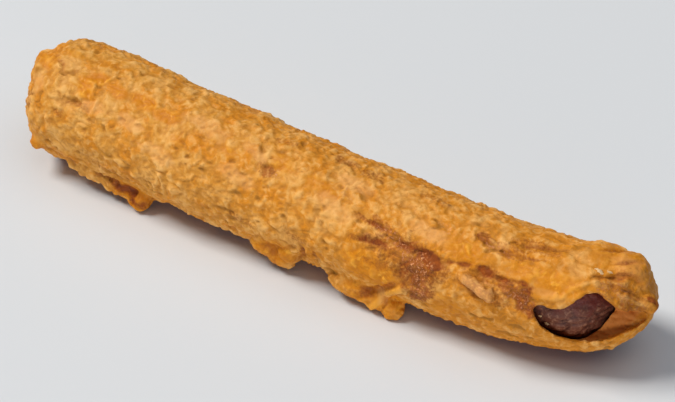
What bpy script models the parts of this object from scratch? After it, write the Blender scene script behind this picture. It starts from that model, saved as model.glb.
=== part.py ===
"""A battered saveloy: a long cooked sausage inside a crust of fried batter, lying on its side.

The log lies along X, with its open end at +X, its drips hanging at the front (-Y) and its flat
underside on Z = 0. All sizes are in metres. Angles round the log are counted in degrees from the
front, so that 0 faces -Y, 90 is the top, 180 the back and -90 the underside.
"""

import math

import bmesh
import bpy
from mathutils import Matrix, Vector, noise

MM = 0.001

# Driving dimensions of the crust
FAR_CAP_X = -94.6 * MM
FAR_CAP_LENGTH = 15 * MM
NEAR_CAP_X = 85 * MM
NEAR_CAP_LENGTH = 22 * MM
CRUST_RADIUS = 18.6 * MM
CRUST_TAPER = 0.0125
NEAR_SLIMMING = 0.8 * MM
POLE_SHARE = 0.02
SINK = 0.9 * MM

# Driving dimensions of the saveloy and of the space round it
SAVELOY_RADIUS = 13.7 * MM
SAVELOY_FAR_CAP_X = -87 * MM
SAVELOY_NEAR_CAP_X = 85 * MM
SAVELOY_CAP_LENGTH = 11.5 * MM
SAVELOY_GAP = 0.3 * MM
POCKET_X = 93.5 * MM
POCKET_LENGTH = 10.5 * MM
POCKET_RADIUS = 12.6 * MM

# How the log bows towards the front, and how its ends turn aside
BOW = 3.0 * MM
BOW_MIDDLE_X = 22 * MM
BOW_HALF_LENGTH = 115 * MM
BOW_FRONT = 1.4 * MM
FAR_TURN_X = -78 * MM
NEAR_TURN_X = 60 * MM
FAR_DROP = 0.3 * MM
FAR_SWING = 1.0 * MM
NEAR_LIFT = 3.6 * MM
NEAR_SWING = 4.6 * MM

# The blister of batter that covers the open end from above
FLAP_HEIGHT = 1.2 * MM
FLAP_FRONT_ANGLE = 36
FLAP_LEDGE_ANGLE = 7
FLAP_BACK_ANGLE = 165
FLAP_FADE_ANGLE = 20
FLAP_SLANT_ANGLE = 100
FLAP_FRONT_X = 64 * MM
FLAP_BACK_X = 83 * MM
FLAP_RAMP = 5.5 * MM

# The crust's uneven thickness: how wide and how high its swellings, knobs and blisters are
SWELLING_SIZE = 17 * MM
SWELLING_HEIGHT = 0.55 * MM
KNOB_SIZE = 7.5 * MM
KNOB_HEIGHT = 0.42 * MM
BLISTER_SIZE = 3.4 * MM
BLISTER_HEIGHT = 0.3 * MM
KNOB_SHIFT = Vector((5, 1, 9))
BLISTER_SHIFT = Vector((2, 7, 3))

# The trough where the batter ran thin: it slants down the front, and has a branch below it
TROUGH_DEPTH = 1.5 * MM
TROUGH_START_X = 12 * MM
TROUGH_START_ANGLE = 48
TROUGH_SLANT = 0.72
TROUGH_HALF_ANGLE = 15
TROUGH_MIDDLE_X = 28 * MM
TROUGH_HALF_LENGTH = 24 * MM
BRANCH_ANGLE = 12
BRANCH_HALF_ANGLE = 26
BRANCH_X = 39 * MM
BRANCH_HALF_LENGTH = 8 * MM

# The swelling between the trough and the nearest drip
BELLY_HEIGHT = 1.3 * MM
BELLY_X = 22 * MM
BELLY_HALF_LENGTH = 16 * MM
BELLY_ANGLE = -8
BELLY_HALF_ANGLE = 34

# The opening faces the way that the photograph looks from
MOUTH_TURN = 30
MOUTH_RISE = 43
MOUTH_CENTRE_X = 84 * MM
MOUTH_DROP = 6 * MM
MOUTH_DEPTH = 1.5 * MM
MOUTH_REACH = 26 * MM
MOUTH_FLARE = 1.12

# The block below the table, which cuts the underside flat
BELOW_TABLE = Vector((0.4, 0.2, 0.04))

# Finishes, as linear colour and roughness
BATTER_COLOUR = (0.62, 0.29, 0.07)
BATTER_ROUGHNESS = 0.55
SKIN_COLOUR = (0.11, 0.035, 0.022)
SKIN_ROUGHNESS = 0.4

# Fineness of the meshes
VOXEL = 0.8 * MM
SOFTENING = 5
CRUST_TRIANGLES = 8200
SAME_PLACE = 0.001 * MM
LUMP_AROUND = 24
LUMP_ALONG = 16
LOG_AROUND = 120
LOG_ALONG = 260
SAVELOY_AROUND = 28
SAVELOY_ALONG = 28


def smooth_step(low, high, value):
    """0 below low, 1 above high, and an even S between them."""
    share = min(1.0, max(0.0, (value - low) / (high - low)))
    return share * share * (3 - 2 * share)


def hump(value, middle, half_width):
    """1 at the middle, falling evenly to 0 at half_width from it."""
    return 1 - smooth_step(0, half_width, abs(value - middle))


def crust_radius(x):
    """The crust's plain radius: the far end is thicker than the near one."""
    slimming = NEAR_SLIMMING * smooth_step(NEAR_TURN_X, NEAR_CAP_X, x)
    return CRUST_RADIUS - CRUST_TAPER * x - slimming


def centre_line(x):
    """Where the middle of the log lies at x, as (y, z)."""
    near = smooth_step(NEAR_TURN_X, NEAR_CAP_X + NEAR_CAP_LENGTH, x)
    far = smooth_step(-FAR_TURN_X, FAR_CAP_LENGTH - FAR_CAP_X, -x)
    bow = BOW * ((x - BOW_MIDDLE_X) / BOW_HALF_LENGTH) ** 2 - BOW_FRONT
    return (
        bow + NEAR_SWING * near - FAR_SWING * far,
        crust_radius(x) - SINK + NEAR_LIFT * near - FAR_DROP * far,
    )


def around_point(x, angle, distance):
    """The point at this distance from the log's middle, at an angle counted from the front."""
    y, z = centre_line(x)
    turn = math.radians(angle)
    return Vector((x, y - distance * math.cos(turn), z + distance * math.sin(turn)))


def relief(point):
    """The crust's uneven thickness: broad swellings, knobbly ones, and small blisters."""
    swelling = noise.noise(point / SWELLING_SIZE)
    knob = noise.noise(point / KNOB_SIZE + KNOB_SHIFT)
    blister = noise.noise(point / BLISTER_SIZE + BLISTER_SHIFT)
    return SWELLING_HEIGHT * swelling + KNOB_HEIGHT * knob + BLISTER_HEIGHT * blister


def flap(x, angle):
    """The raised blister over the opening: a ledge at its front edge, a soft one elsewhere."""
    round_share = (angle - FLAP_FRONT_ANGLE) / FLAP_SLANT_ANGLE
    start = FLAP_FRONT_X + (FLAP_BACK_X - FLAP_FRONT_X) * round_share
    front = smooth_step(FLAP_FRONT_ANGLE - FLAP_LEDGE_ANGLE, FLAP_FRONT_ANGLE, angle)
    back = 1 - smooth_step(
        FLAP_BACK_ANGLE - FLAP_FADE_ANGLE, FLAP_BACK_ANGLE + FLAP_FADE_ANGLE, angle
    )
    begin = smooth_step(start, start + FLAP_RAMP, x)
    return FLAP_HEIGHT * front * back * begin


def trough(x, angle):
    """How deep the trough is here."""
    slant_angle = TROUGH_START_ANGLE - TROUGH_SLANT * (x - TROUGH_START_X) / MM
    slant = hump(angle, slant_angle, TROUGH_HALF_ANGLE) * hump(
        x, TROUGH_MIDDLE_X, TROUGH_HALF_LENGTH
    )
    branch = hump(angle, BRANCH_ANGLE, BRANCH_HALF_ANGLE) * hump(
        x, BRANCH_X, BRANCH_HALF_LENGTH
    )
    return TROUGH_DEPTH * max(slant, branch)


def belly(x, angle):
    """How high the swelling beside the trough is here."""
    return (
        BELLY_HEIGHT
        * hump(x, BELLY_X, BELLY_HALF_LENGTH)
        * hump(angle, BELLY_ANGLE, BELLY_HALF_ANGLE)
    )


def around_angle(turn):
    """The angle from the front, from -90 below to 270, for a sphere's turn about its own axis."""
    return (math.degrees(math.pi - turn) + 90) % 360 - 90


def profile(share, near_x, near_length, far_x, far_length):
    """(x, share of the full radius, slope of the normal along X) from the near tip to the far one.
    Both ends are half ellipses, and equal shares are equal steps along the outline."""
    near_arc = 0.5 * math.pi * near_length
    far_arc = 0.5 * math.pi * far_length
    straight = near_x - far_x
    way = share * (near_arc + straight + far_arc)
    if way < near_arc:
        turn = way / near_length
        return near_x + near_length * math.cos(turn), math.sin(turn), math.cos(turn)
    if way < near_arc + straight:
        return near_x - (way - near_arc), 1.0, 0.0
    turn = (way - near_arc - straight) / far_length
    return far_x - far_length * math.sin(turn), math.cos(turn), -math.sin(turn)


def crust_point(share, turn):
    """A point of the crust's outside, for a share of the way along and a turn round the log."""
    x, radius_share, lean = profile(
        share, NEAR_CAP_X, NEAR_CAP_LENGTH, FAR_CAP_X, FAR_CAP_LENGTH
    )
    angle = around_angle(turn)
    radius = crust_radius(x) * radius_share
    plain = around_point(x, angle, radius)
    height = relief(plain) + radius_share * (
        flap(x, angle) + belly(x, angle) - trough(x, angle)
    )
    outward = around_point(x, angle, 1) - around_point(x, angle, 0)
    outward = (outward * max(radius_share, POLE_SHARE) + Vector((lean, 0, 0))).normalized()
    return plain + outward * height


def saveloy_point(share, turn, extra):
    """A point of the saveloy's skin, or of a skin that lies extra metres outside it."""
    x, radius_share, _ = profile(
        share,
        SAVELOY_NEAR_CAP_X,
        SAVELOY_CAP_LENGTH + extra,
        SAVELOY_FAR_CAP_X,
        SAVELOY_CAP_LENGTH + extra,
    )
    return around_point(x, around_angle(turn), (SAVELOY_RADIUS + extra) * radius_share)


def ball(name, around, along, place):
    """A UV sphere with each vertex moved to place(share of the way from pole to pole, turn)."""
    shape = bmesh.new()
    bmesh.ops.create_uvsphere(shape, u_segments=around, v_segments=along, radius=1)
    for vertex in shape.verts:
        x, y, z = vertex.co
        share = math.acos(max(-1.0, min(1.0, z))) / math.pi
        vertex.co = place(share, math.atan2(y, x))
    mesh = bpy.data.meshes.new(name)
    shape.to_mesh(mesh)
    shape.free()
    return bpy.data.objects.new(name, mesh)


def lump(name, x, angle, distance, radii, swing=0.0):
    """An egg of batter at this place on the log. Its radii run along X, round the log and outwards,
    and swing turns it in the surface, its +X end downwards."""
    shape = bmesh.new()
    bmesh.ops.create_uvsphere(shape, u_segments=LUMP_AROUND, v_segments=LUMP_ALONG, radius=1)
    centre = around_point(x, angle, distance)
    outward = (centre - around_point(x, angle, 0)).normalized()
    along = Vector((1, 0, 0))
    upward = outward.cross(along)
    turned = along * math.cos(math.radians(swing)) - upward * math.sin(math.radians(swing))
    across = outward.cross(turned)
    axes = Matrix((turned, across, outward)).transposed().to_4x4()
    bmesh.ops.transform(
        shape,
        matrix=Matrix.Translation(centre) @ axes @ Matrix.Diagonal((*radii, 1)),
        verts=shape.verts,
    )
    mesh = bpy.data.meshes.new(name)
    shape.to_mesh(mesh)
    shape.free()
    return bpy.data.objects.new(name, mesh)


def drips_and_crags():
    """The drips along the front of the underside, the crumb, and the ragged rim of the open end."""
    mm = MM
    return [
        lump("far_knob", -99.4 * mm, -22, 18.6 * mm, (2.8 * mm, 2.6 * mm, 2.5 * mm)),
        lump("far_shoulder", -102.6 * mm, 62, 14.6 * mm, (3.6 * mm, 5.5 * mm, 3.7 * mm)),
        lump("far_ledge", -79.5 * mm, -37, 19.0 * mm, (10 * mm, 3.2 * mm, 3.0 * mm), 5),
        lump("far_drip_root", -67 * mm, -39, 19.8 * mm, (6.5 * mm, 3.0 * mm, 3.0 * mm), 10),
        lump("far_drip", -61.4 * mm, -43, 21.5 * mm, (4.6 * mm, 2.4 * mm, 3.0 * mm), 8),
        lump("middle_drip_root", -13.5 * mm, -36, 18.8 * mm, (6 * mm, 3.6 * mm, 3.0 * mm), 14),
        lump("middle_drip", -7.8 * mm, -41, 20.5 * mm, (4.6 * mm, 2.6 * mm, 2.7 * mm), 12),
        lump("near_drip_root", 20 * mm, -39, 19.2 * mm, (11.5 * mm, 4.4 * mm, 4.2 * mm), 4),
        lump("near_drip", 31.6 * mm, -42, 21.6 * mm, (4.2 * mm, 2.5 * mm, 3.6 * mm), 6),
        lump("crumb", 60.2 * mm, 26, 18.2 * mm, (5.4 * mm, 1.9 * mm, 1.8 * mm), 13),
        lump("rim_top", 97 * mm, 104, 13.6 * mm, (6.5 * mm, 7 * mm, 3.6 * mm)),
        lump("rim_tip", 105.2 * mm, 74, 5.6 * mm, (4.2 * mm, 3.6 * mm, 3.4 * mm)),
    ]


def mouth_outline():
    """The opening's edge, as (right, up) in its own plane: a smile with a notch in its upper lip."""
    return [
        (-13.8, 1.8), (-9.6, -3.9), (-3.3, -6.3), (2.0, -7.0), (7.4, -6.3), (12.6, -3.9),
        (17.9, -1.0), (19.7, 1.1), (15.5, 2.0), (11.2, 1.8), (8.2, 4.6), (3.8, 6.6),
        (-0.6, 5.2), (-3.9, 2.5), (-8.2, 1.8), (-12.4, 3.2),
    ]


def mouth_cutter():
    """The opening as a solid: its outline is drawn as a curve, made thick, and flared outwards."""
    curve = bpy.data.curves.new("mouth_outline", "CURVE")
    curve.dimensions = "2D"
    curve.fill_mode = "BOTH"
    curve.resolution_u = 4
    curve.extrude = MOUTH_REACH / 2
    points = mouth_outline()
    spline = curve.splines.new("BEZIER")
    spline.bezier_points.add(len(points) - 1)
    for knot, (right, up) in zip(spline.bezier_points, points):
        knot.co = (right * MM, up * MM, 0)
        knot.handle_left_type = knot.handle_right_type = "AUTO"
    spline.use_cyclic_u = True
    drawn = bpy.data.objects.new("mouth_outline", curve)
    bpy.context.scene.collection.objects.link(drawn)
    bpy.context.view_layer.update()
    mesh = bpy.data.meshes.new_from_object(
        drawn.evaluated_get(bpy.context.evaluated_depsgraph_get())
    )
    bpy.data.objects.remove(drawn)
    shape = bmesh.new()
    shape.from_mesh(mesh)
    bmesh.ops.remove_doubles(shape, verts=shape.verts, dist=SAME_PLACE)
    turn, rise = math.radians(MOUTH_TURN), math.radians(MOUTH_RISE)
    outward = Vector(
        (math.sin(turn) * math.cos(rise), -math.cos(turn) * math.cos(rise), math.sin(rise))
    )
    right = Vector((math.cos(turn), math.sin(turn), 0))
    up = outward.cross(right)
    middle = around_point(MOUTH_CENTRE_X, 0, 0) + outward * MOUTH_DEPTH - up * MOUTH_DROP
    for vertex in shape.verts:
        outer = vertex.co.z > 0
        flare = MOUTH_FLARE if outer else 1.0
        depth = MOUTH_REACH if outer else 0.0
        vertex.co = (
            middle
            + right * vertex.co.x * flare
            + up * vertex.co.y * flare
            + outward * depth
        )
    bmesh.ops.recalc_face_normals(shape, faces=shape.faces)
    shape.to_mesh(mesh)
    shape.free()
    return bpy.data.objects.new("mouth_cutter", mesh)


def pocket_cutter():
    """The air space past the saveloy's end, where the batter stands off it."""
    y, z = centre_line(POCKET_X)

    def place(share, turn):
        polar = share * math.pi
        radius = POCKET_RADIUS * math.sin(polar)
        return Vector(
            (
                POCKET_X + POCKET_LENGTH * math.cos(polar),
                y + radius * math.cos(turn),
                z + radius * math.sin(turn),
            )
        )

    return ball("pocket_cutter", LUMP_AROUND, LUMP_ALONG, place)


def floor_cutter():
    """All that is below the table, so that the underside is flat where it rests."""
    shape = bmesh.new()
    bmesh.ops.create_cube(shape, size=1)
    bmesh.ops.scale(shape, vec=BELOW_TABLE, verts=shape.verts)
    bmesh.ops.translate(shape, vec=(0, 0, -BELOW_TABLE.z / 2), verts=shape.verts)
    mesh = bpy.data.meshes.new("floor_cutter")
    shape.to_mesh(mesh)
    shape.free()
    return bpy.data.objects.new("floor_cutter", mesh)


def material(name, colour, roughness):
    """A plain Principled finish."""
    made = bpy.data.materials.new(name)
    made.use_nodes = True
    shader = made.node_tree.nodes["Principled BSDF"]
    shader.inputs["Base Color"].default_value = (*colour, 1)
    shader.inputs["Roughness"].default_value = roughness
    made.diffuse_color = (*colour, 1)
    return made


def add_boolean(obj, operand, operation):
    modifier = obj.modifiers.new(operand.name, "BOOLEAN")
    modifier.operation = operation
    modifier.solver = "EXACT"
    if isinstance(operand, bpy.types.Collection):
        modifier.operand_type = "COLLECTION"
        modifier.collection = operand
    else:
        modifier.object = operand


def apply_modifiers(obj):
    """Puts what the modifiers make in place of the object's mesh, and removes them."""
    bpy.context.view_layer.update()
    made = bpy.data.meshes.new_from_object(
        obj.evaluated_get(bpy.context.evaluated_depsgraph_get())
    )
    obj.modifiers.clear()
    obj.data = made


def make_crust(part, cutters, skin):
    crust = ball("batter", LOG_AROUND, LOG_ALONG, crust_point)
    part.objects.link(crust)

    crags = bpy.data.collections.new("drips")
    bpy.context.scene.collection.children.link(crags)
    for piece in drips_and_crags():
        crags.objects.link(piece)
    add_boolean(crust, crags, "UNION")
    apply_modifiers(crust)
    for piece in list(crags.objects):
        bpy.data.objects.remove(piece)
    bpy.data.collections.remove(crags)

    for cutter in (pocket_cutter(), mouth_cutter()):
        cutters.objects.link(cutter)
        add_boolean(crust, cutter, "DIFFERENCE")
    remesh = crust.modifiers.new("even_out", "REMESH")
    remesh.mode = "VOXEL"
    remesh.voxel_size = VOXEL
    smooth = crust.modifiers.new("soften", "SMOOTH")
    smooth.factor = 0.5
    smooth.iterations = SOFTENING
    apply_modifiers(crust)
    thin = crust.modifiers.new("fewer_faces", "DECIMATE")
    thin.ratio = CRUST_TRIANGLES / (2 * len(crust.data.polygons))
    apply_modifiers(crust)

    for cutter in (skin, floor_cutter()):
        cutters.objects.link(cutter)
        add_boolean(crust, cutter, "DIFFERENCE")
    apply_modifiers(crust)
    crust.data.materials.clear()
    crust.data.materials.append(material("fried_batter", BATTER_COLOUR, BATTER_ROUGHNESS))
    return crust


def main():
    for obj in list(bpy.data.objects):
        bpy.data.objects.remove(obj)
    part = bpy.data.collections.new("battered_saveloy")
    cutters = bpy.data.collections.new("cutters")
    bpy.context.scene.collection.children.link(part)
    bpy.context.scene.collection.children.link(cutters)

    skin = ball(
        "saveloy_space",
        SAVELOY_AROUND,
        SAVELOY_ALONG,
        lambda share, turn: saveloy_point(share, turn, SAVELOY_GAP),
    )
    make_crust(part, cutters, skin)

    saveloy = ball(
        "saveloy",
        SAVELOY_AROUND,
        SAVELOY_ALONG,
        lambda share, turn: saveloy_point(share, turn, 0.0),
    )
    part.objects.link(saveloy)
    saveloy.data.materials.append(material("saveloy_skin", SKIN_COLOUR, SKIN_ROUGHNESS))

    for cutter in cutters.objects:
        cutter.hide_render = True
        cutter.display_type = "WIRE"


main()
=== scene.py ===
# %% [markdown]
# # A battered saveloy
# A saveloy is a long cooked sausage. Dipped in thick batter and dropped in hot oil, it comes out
# as a golden log: knobbly and blistered on top, with drips that set hard along its lower side.
# At one end the crust has torn open, and the dark skin of the sausage shows.
#
# The solid model of the part is loaded first and is never changed. Everything below is made
# round it, in metres, with X along the log, -Y at the side with the drips, and Z up. Blender
# seeds its noise vectors from the clock, so a seed is set, and each run makes the same log.

# %% Load the frame
import math

import bmesh
import bpy
import numpy as np
from mathutils import Matrix, Vector, noise


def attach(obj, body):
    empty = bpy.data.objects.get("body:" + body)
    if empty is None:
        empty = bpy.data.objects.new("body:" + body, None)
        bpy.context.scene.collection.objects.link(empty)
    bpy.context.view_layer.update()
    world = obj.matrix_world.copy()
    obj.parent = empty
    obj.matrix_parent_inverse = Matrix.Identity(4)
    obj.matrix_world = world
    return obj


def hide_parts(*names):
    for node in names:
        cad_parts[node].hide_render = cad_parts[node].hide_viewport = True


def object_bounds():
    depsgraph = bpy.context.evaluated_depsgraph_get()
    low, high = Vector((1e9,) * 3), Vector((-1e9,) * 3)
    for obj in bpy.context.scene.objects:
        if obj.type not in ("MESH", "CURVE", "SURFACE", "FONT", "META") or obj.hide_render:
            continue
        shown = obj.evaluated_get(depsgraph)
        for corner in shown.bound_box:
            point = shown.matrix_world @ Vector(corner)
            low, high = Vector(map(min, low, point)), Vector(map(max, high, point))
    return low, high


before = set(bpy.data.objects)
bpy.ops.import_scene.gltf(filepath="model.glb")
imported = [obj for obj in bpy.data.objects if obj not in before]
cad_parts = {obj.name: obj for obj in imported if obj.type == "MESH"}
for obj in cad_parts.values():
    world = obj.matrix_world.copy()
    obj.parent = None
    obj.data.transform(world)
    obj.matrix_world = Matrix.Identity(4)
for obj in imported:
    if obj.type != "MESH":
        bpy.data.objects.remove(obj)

MM = 0.001
NOISE_SEED = 7
noise.seed_set(NOISE_SEED)
box_low, box_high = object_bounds()
print("solid model:", [round(side / MM, 1) for side in box_high - box_low], "mm")

# %% [markdown]
# ## The camera
# The photograph looks down on the log from its open end, from far away, so the log hardly tapers
# towards the back. A long lens at 85 cm does the same. The camera could be aimed by hand, but
# worked out from two angles it is easier to check against the photograph.

# %% Place the camera
CAMERA_AZIMUTH = 30
CAMERA_ELEVATION = 43
CAMERA_DISTANCE = 0.85
CAMERA_LENS = 146.7
CAMERA_TARGET = Vector((0.0016, 0.001, 0.019))


def direction(azimuth, elevation):
    """The way from the object to a watcher: azimuth 0 stands in front (-Y), 90 at +X."""
    turn, rise = math.radians(azimuth), math.radians(elevation)
    return Vector(
        (math.sin(turn) * math.cos(rise), -math.cos(turn) * math.cos(rise), math.sin(rise))
    )


towards_camera = direction(CAMERA_AZIMUTH, CAMERA_ELEVATION)
camera = bpy.data.objects.new("camera", bpy.data.cameras.new("camera"))
camera.data.lens = CAMERA_LENS
camera.location = CAMERA_TARGET + towards_camera * CAMERA_DISTANCE
camera.rotation_mode = "QUATERNION"
camera.rotation_quaternion = (-towards_camera).to_track_quat("-Z", "Y")
bpy.context.scene.collection.objects.link(camera)
bpy.context.scene.camera = camera
print("camera at", [round(value, 3) for value in camera.location])

# %% [markdown]
# ## The studio
# A pale grey sweep and three soft lamps. The key lamp stands high beyond the closed end, and gives
# the shadow past the open end. A wide lamp overhead fills the top and the back. A low one in
# front lights the drips, but skims over the floor, so the dark line under the log stays dark.
# An even glow from all round could do the last two jobs, but it would wash that line out. What
# glow there is, is cool, because the bright crust throws warm light into its own shadow. The
# plain colour transform keeps the crust's yellows.

# %% Light the studio
FLOOR_COLOUR = (0.66, 0.675, 0.69, 1)
GLOW_STRENGTH = 0.11
GLOW_COLOUR = (0.35, 0.60, 1.00)
LAMPS = [
    # name, the way to it from the log, how far off, width, height, power and colour
    ("key_lamp", (-0.70, -0.16, 1.00), 4.5, 1.6, 1.6, 190, (1.00, 0.97, 0.92)),
    ("overhead_lamp", (0.30, 0.10, 1.00), 2.0, 2.4, 2.4, 15, (1.00, 0.99, 0.97)),
    ("front_lamp", (0.35, -1.00, 0.07), 1.4, 1.2, 0.15, 8, (1.00, 1.00, 1.00)),
]

scene = bpy.context.scene
scene.view_settings.view_transform = "Standard"

world = bpy.data.worlds.new("studio_glow")
scene.world = world
world.use_nodes = True
world.node_tree.nodes["Background"].inputs["Color"].default_value = (*GLOW_COLOUR, 1)
world.node_tree.nodes["Background"].inputs["Strength"].default_value = GLOW_STRENGTH

for lamp_name, way, distance, width, height, power, colour in LAMPS:
    lamp = bpy.data.objects.new(lamp_name, bpy.data.lights.new(lamp_name, "AREA"))
    lamp.data.energy = power
    lamp.data.color = colour
    lamp.data.shape = "RECTANGLE"
    lamp.data.size = width
    lamp.data.size_y = height
    lamp.location = Vector(way).normalized() * distance
    lamp.rotation_mode = "QUATERNION"
    lamp.rotation_quaternion = (-Vector(way)).to_track_quat("-Z", "Y")
    scene.collection.objects.link(lamp)

bpy.ops.mesh.primitive_plane_add(size=6)
floor = bpy.context.object
floor.name = "floor"

floor_paint = bpy.data.materials.new("floor_paint")
floor_paint.use_nodes = True
floor_shader = floor_paint.node_tree.nodes["Principled BSDF"]
floor_shader.inputs["Base Color"].default_value = FLOOR_COLOUR
floor_shader.inputs["Roughness"].default_value = 0.9
floor_shader.inputs["Specular IOR Level"].default_value = 0.1
floor.data.materials.append(floor_paint)
print("lamps:", ", ".join(row[0] for row in LAMPS))

# %% [markdown]
# ## The log's middle line and thickness
# The log is nearly a straight rod with rounded ends, but a plain rod would look machined. The
# real one bows, is thicker at its closed end, and lifts and turns back at its open end. So each
# place on it is named by x, its place along the log, and by an angle round it: 0 at the front,
# 90 on top, 180 at the back. Small functions turn those two numbers into a point.

# %% Measure out the log
FAR_CAP_X = -94.6 * MM
FAR_CAP_LENGTH = 15 * MM
NEAR_CAP_X = 85 * MM
NEAR_CAP_LENGTH = 22 * MM
CRUST_RADIUS = 18.6 * MM
CRUST_TAPER = 0.0125
NEAR_SLIMMING = 0.8 * MM
POLE_SHARE = 0.02
SINK = 0.9 * MM

BOW = 3.0 * MM
BOW_MIDDLE_X = 22 * MM
BOW_HALF_LENGTH = 115 * MM
BOW_FRONT = 1.4 * MM
FAR_TURN_X = -78 * MM
NEAR_TURN_X = 60 * MM
FAR_DROP = 0.3 * MM
FAR_SWING = 1.0 * MM
NEAR_LIFT = 3.6 * MM
NEAR_SWING = 4.6 * MM


def smooth_step(low, high, value):
    """0 below low, 1 above high, and an even S between them."""
    share = min(1.0, max(0.0, (value - low) / (high - low)))
    return share * share * (3 - 2 * share)


def hump(value, middle, half_width):
    """1 at the middle, falling evenly to 0 at half_width from it."""
    return 1 - smooth_step(0, half_width, abs(value - middle))


def crust_radius(x):
    """The crust's plain radius: the far end is thicker than the near one."""
    slimming = NEAR_SLIMMING * smooth_step(NEAR_TURN_X, NEAR_CAP_X, x)
    return CRUST_RADIUS - CRUST_TAPER * x - slimming


def centre_line(x):
    """Where the middle of the log lies at x, as (y, z)."""
    near = smooth_step(NEAR_TURN_X, NEAR_CAP_X + NEAR_CAP_LENGTH, x)
    far = smooth_step(-FAR_TURN_X, FAR_CAP_LENGTH - FAR_CAP_X, -x)
    bow = BOW * ((x - BOW_MIDDLE_X) / BOW_HALF_LENGTH) ** 2 - BOW_FRONT
    return (
        bow + NEAR_SWING * near - FAR_SWING * far,
        crust_radius(x) - SINK + NEAR_LIFT * near - FAR_DROP * far,
    )


def around_point(x, angle, distance):
    """The point at this distance from the log's middle, at an angle counted from the front."""
    y, z = centre_line(x)
    turn = math.radians(angle)
    return Vector((x, y - distance * math.cos(turn), z + distance * math.sin(turn)))


print("plain thickness at the ends:", [round(2 * crust_radius(x) / MM, 1) for x in (-0.09, 0.08)])

# %% [markdown]
# ## The broad shape of the crust
# Batter swells unevenly as it fries. Three sizes of smooth noise make broad swellings, knobs and
# blisters, and three shapes are put in, because the eye looks for them: a raised blister over the
# open end, a trough where the batter ran thin, and a full belly beside the trough.

# %% Shape the swellings
FLAP_HEIGHT = 1.2 * MM
FLAP_FRONT_ANGLE = 36
FLAP_LEDGE_ANGLE = 7
FLAP_BACK_ANGLE = 165
FLAP_FADE_ANGLE = 20
FLAP_SLANT_ANGLE = 100
FLAP_FRONT_X = 64 * MM
FLAP_BACK_X = 83 * MM
FLAP_RAMP = 5.5 * MM

SWELLING_SIZE = 17 * MM
SWELLING_HEIGHT = 0.55 * MM
KNOB_SIZE = 7.5 * MM
KNOB_HEIGHT = 0.42 * MM
BLISTER_SIZE = 3.4 * MM
BLISTER_HEIGHT = 0.3 * MM
KNOB_SHIFT = Vector((5, 1, 9))
BLISTER_SHIFT = Vector((2, 7, 3))

TROUGH_DEPTH = 1.5 * MM
TROUGH_START_X = 12 * MM
TROUGH_START_ANGLE = 48
TROUGH_SLANT = 0.72
TROUGH_HALF_ANGLE = 15
TROUGH_MIDDLE_X = 28 * MM
TROUGH_HALF_LENGTH = 24 * MM
BRANCH_ANGLE = 12
BRANCH_HALF_ANGLE = 26
BRANCH_X = 39 * MM
BRANCH_HALF_LENGTH = 8 * MM

BELLY_HEIGHT = 1.3 * MM
BELLY_X = 22 * MM
BELLY_HALF_LENGTH = 16 * MM
BELLY_ANGLE = -8
BELLY_HALF_ANGLE = 34


def swellings(point):
    """The crust's uneven thickness at three sizes."""
    swelling = noise.noise(point / SWELLING_SIZE)
    knob = noise.noise(point / KNOB_SIZE + KNOB_SHIFT)
    blister = noise.noise(point / BLISTER_SIZE + BLISTER_SHIFT)
    return SWELLING_HEIGHT * swelling + KNOB_HEIGHT * knob + BLISTER_HEIGHT * blister


def flap(x, angle):
    """The raised blister over the opening: a ledge at its front edge, a soft one elsewhere."""
    round_share = (angle - FLAP_FRONT_ANGLE) / FLAP_SLANT_ANGLE
    start = FLAP_FRONT_X + (FLAP_BACK_X - FLAP_FRONT_X) * round_share
    front = smooth_step(FLAP_FRONT_ANGLE - FLAP_LEDGE_ANGLE, FLAP_FRONT_ANGLE, angle)
    back = 1 - smooth_step(
        FLAP_BACK_ANGLE - FLAP_FADE_ANGLE, FLAP_BACK_ANGLE + FLAP_FADE_ANGLE, angle
    )
    begin = smooth_step(start, start + FLAP_RAMP, x)
    return FLAP_HEIGHT * front * back * begin


def trough(x, angle):
    """How deep the trough is here, and its branch below it."""
    slant_angle = TROUGH_START_ANGLE - TROUGH_SLANT * (x - TROUGH_START_X) / MM
    slant = hump(angle, slant_angle, TROUGH_HALF_ANGLE) * hump(
        x, TROUGH_MIDDLE_X, TROUGH_HALF_LENGTH
    )
    branch = hump(angle, BRANCH_ANGLE, BRANCH_HALF_ANGLE) * hump(
        x, BRANCH_X, BRANCH_HALF_LENGTH
    )
    return TROUGH_DEPTH * max(slant, branch)


def belly(x, angle):
    """How high the swelling beside the trough is here."""
    return (
        BELLY_HEIGHT
        * hump(x, BELLY_X, BELLY_HALF_LENGTH)
        * hump(angle, BELLY_ANGLE, BELLY_HALF_ANGLE)
    )


highest = (FLAP_HEIGHT, -TROUGH_DEPTH, BELLY_HEIGHT)
print("flap, trough and belly:", [round(height / MM, 1) for height in highest], "mm")

# %% [markdown]
# ## Rolling the log out of a sphere
# A sphere already closes at both ends, so it is a good start for a log: each of its points is
# sent to a place along the log and an angle round it. Both ends are half ellipses, and the steps
# along the outline are equal, so that the mesh is as fine at the ends as in the middle.

# %% Make the plain log
LOG_AROUND = 150
LOG_ALONG = 330


def around_angle(turn):
    """The angle from the front, from -90 below to 270, for a sphere's turn about its own axis."""
    return (math.degrees(math.pi - turn) + 90) % 360 - 90


def profile(share, near_x, near_length, far_x, far_length):
    """(x, share of the full radius, slope of the normal along X) from the near tip to the far."""
    near_arc = 0.5 * math.pi * near_length
    far_arc = 0.5 * math.pi * far_length
    straight = near_x - far_x
    way = share * (near_arc + straight + far_arc)
    if way < near_arc:
        turn = way / near_length
        return near_x + near_length * math.cos(turn), math.sin(turn), math.cos(turn)
    if way < near_arc + straight:
        return near_x - (way - near_arc), 1.0, 0.0
    turn = (way - near_arc - straight) / far_length
    return far_x - far_length * math.sin(turn), math.cos(turn), -math.sin(turn)


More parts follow.
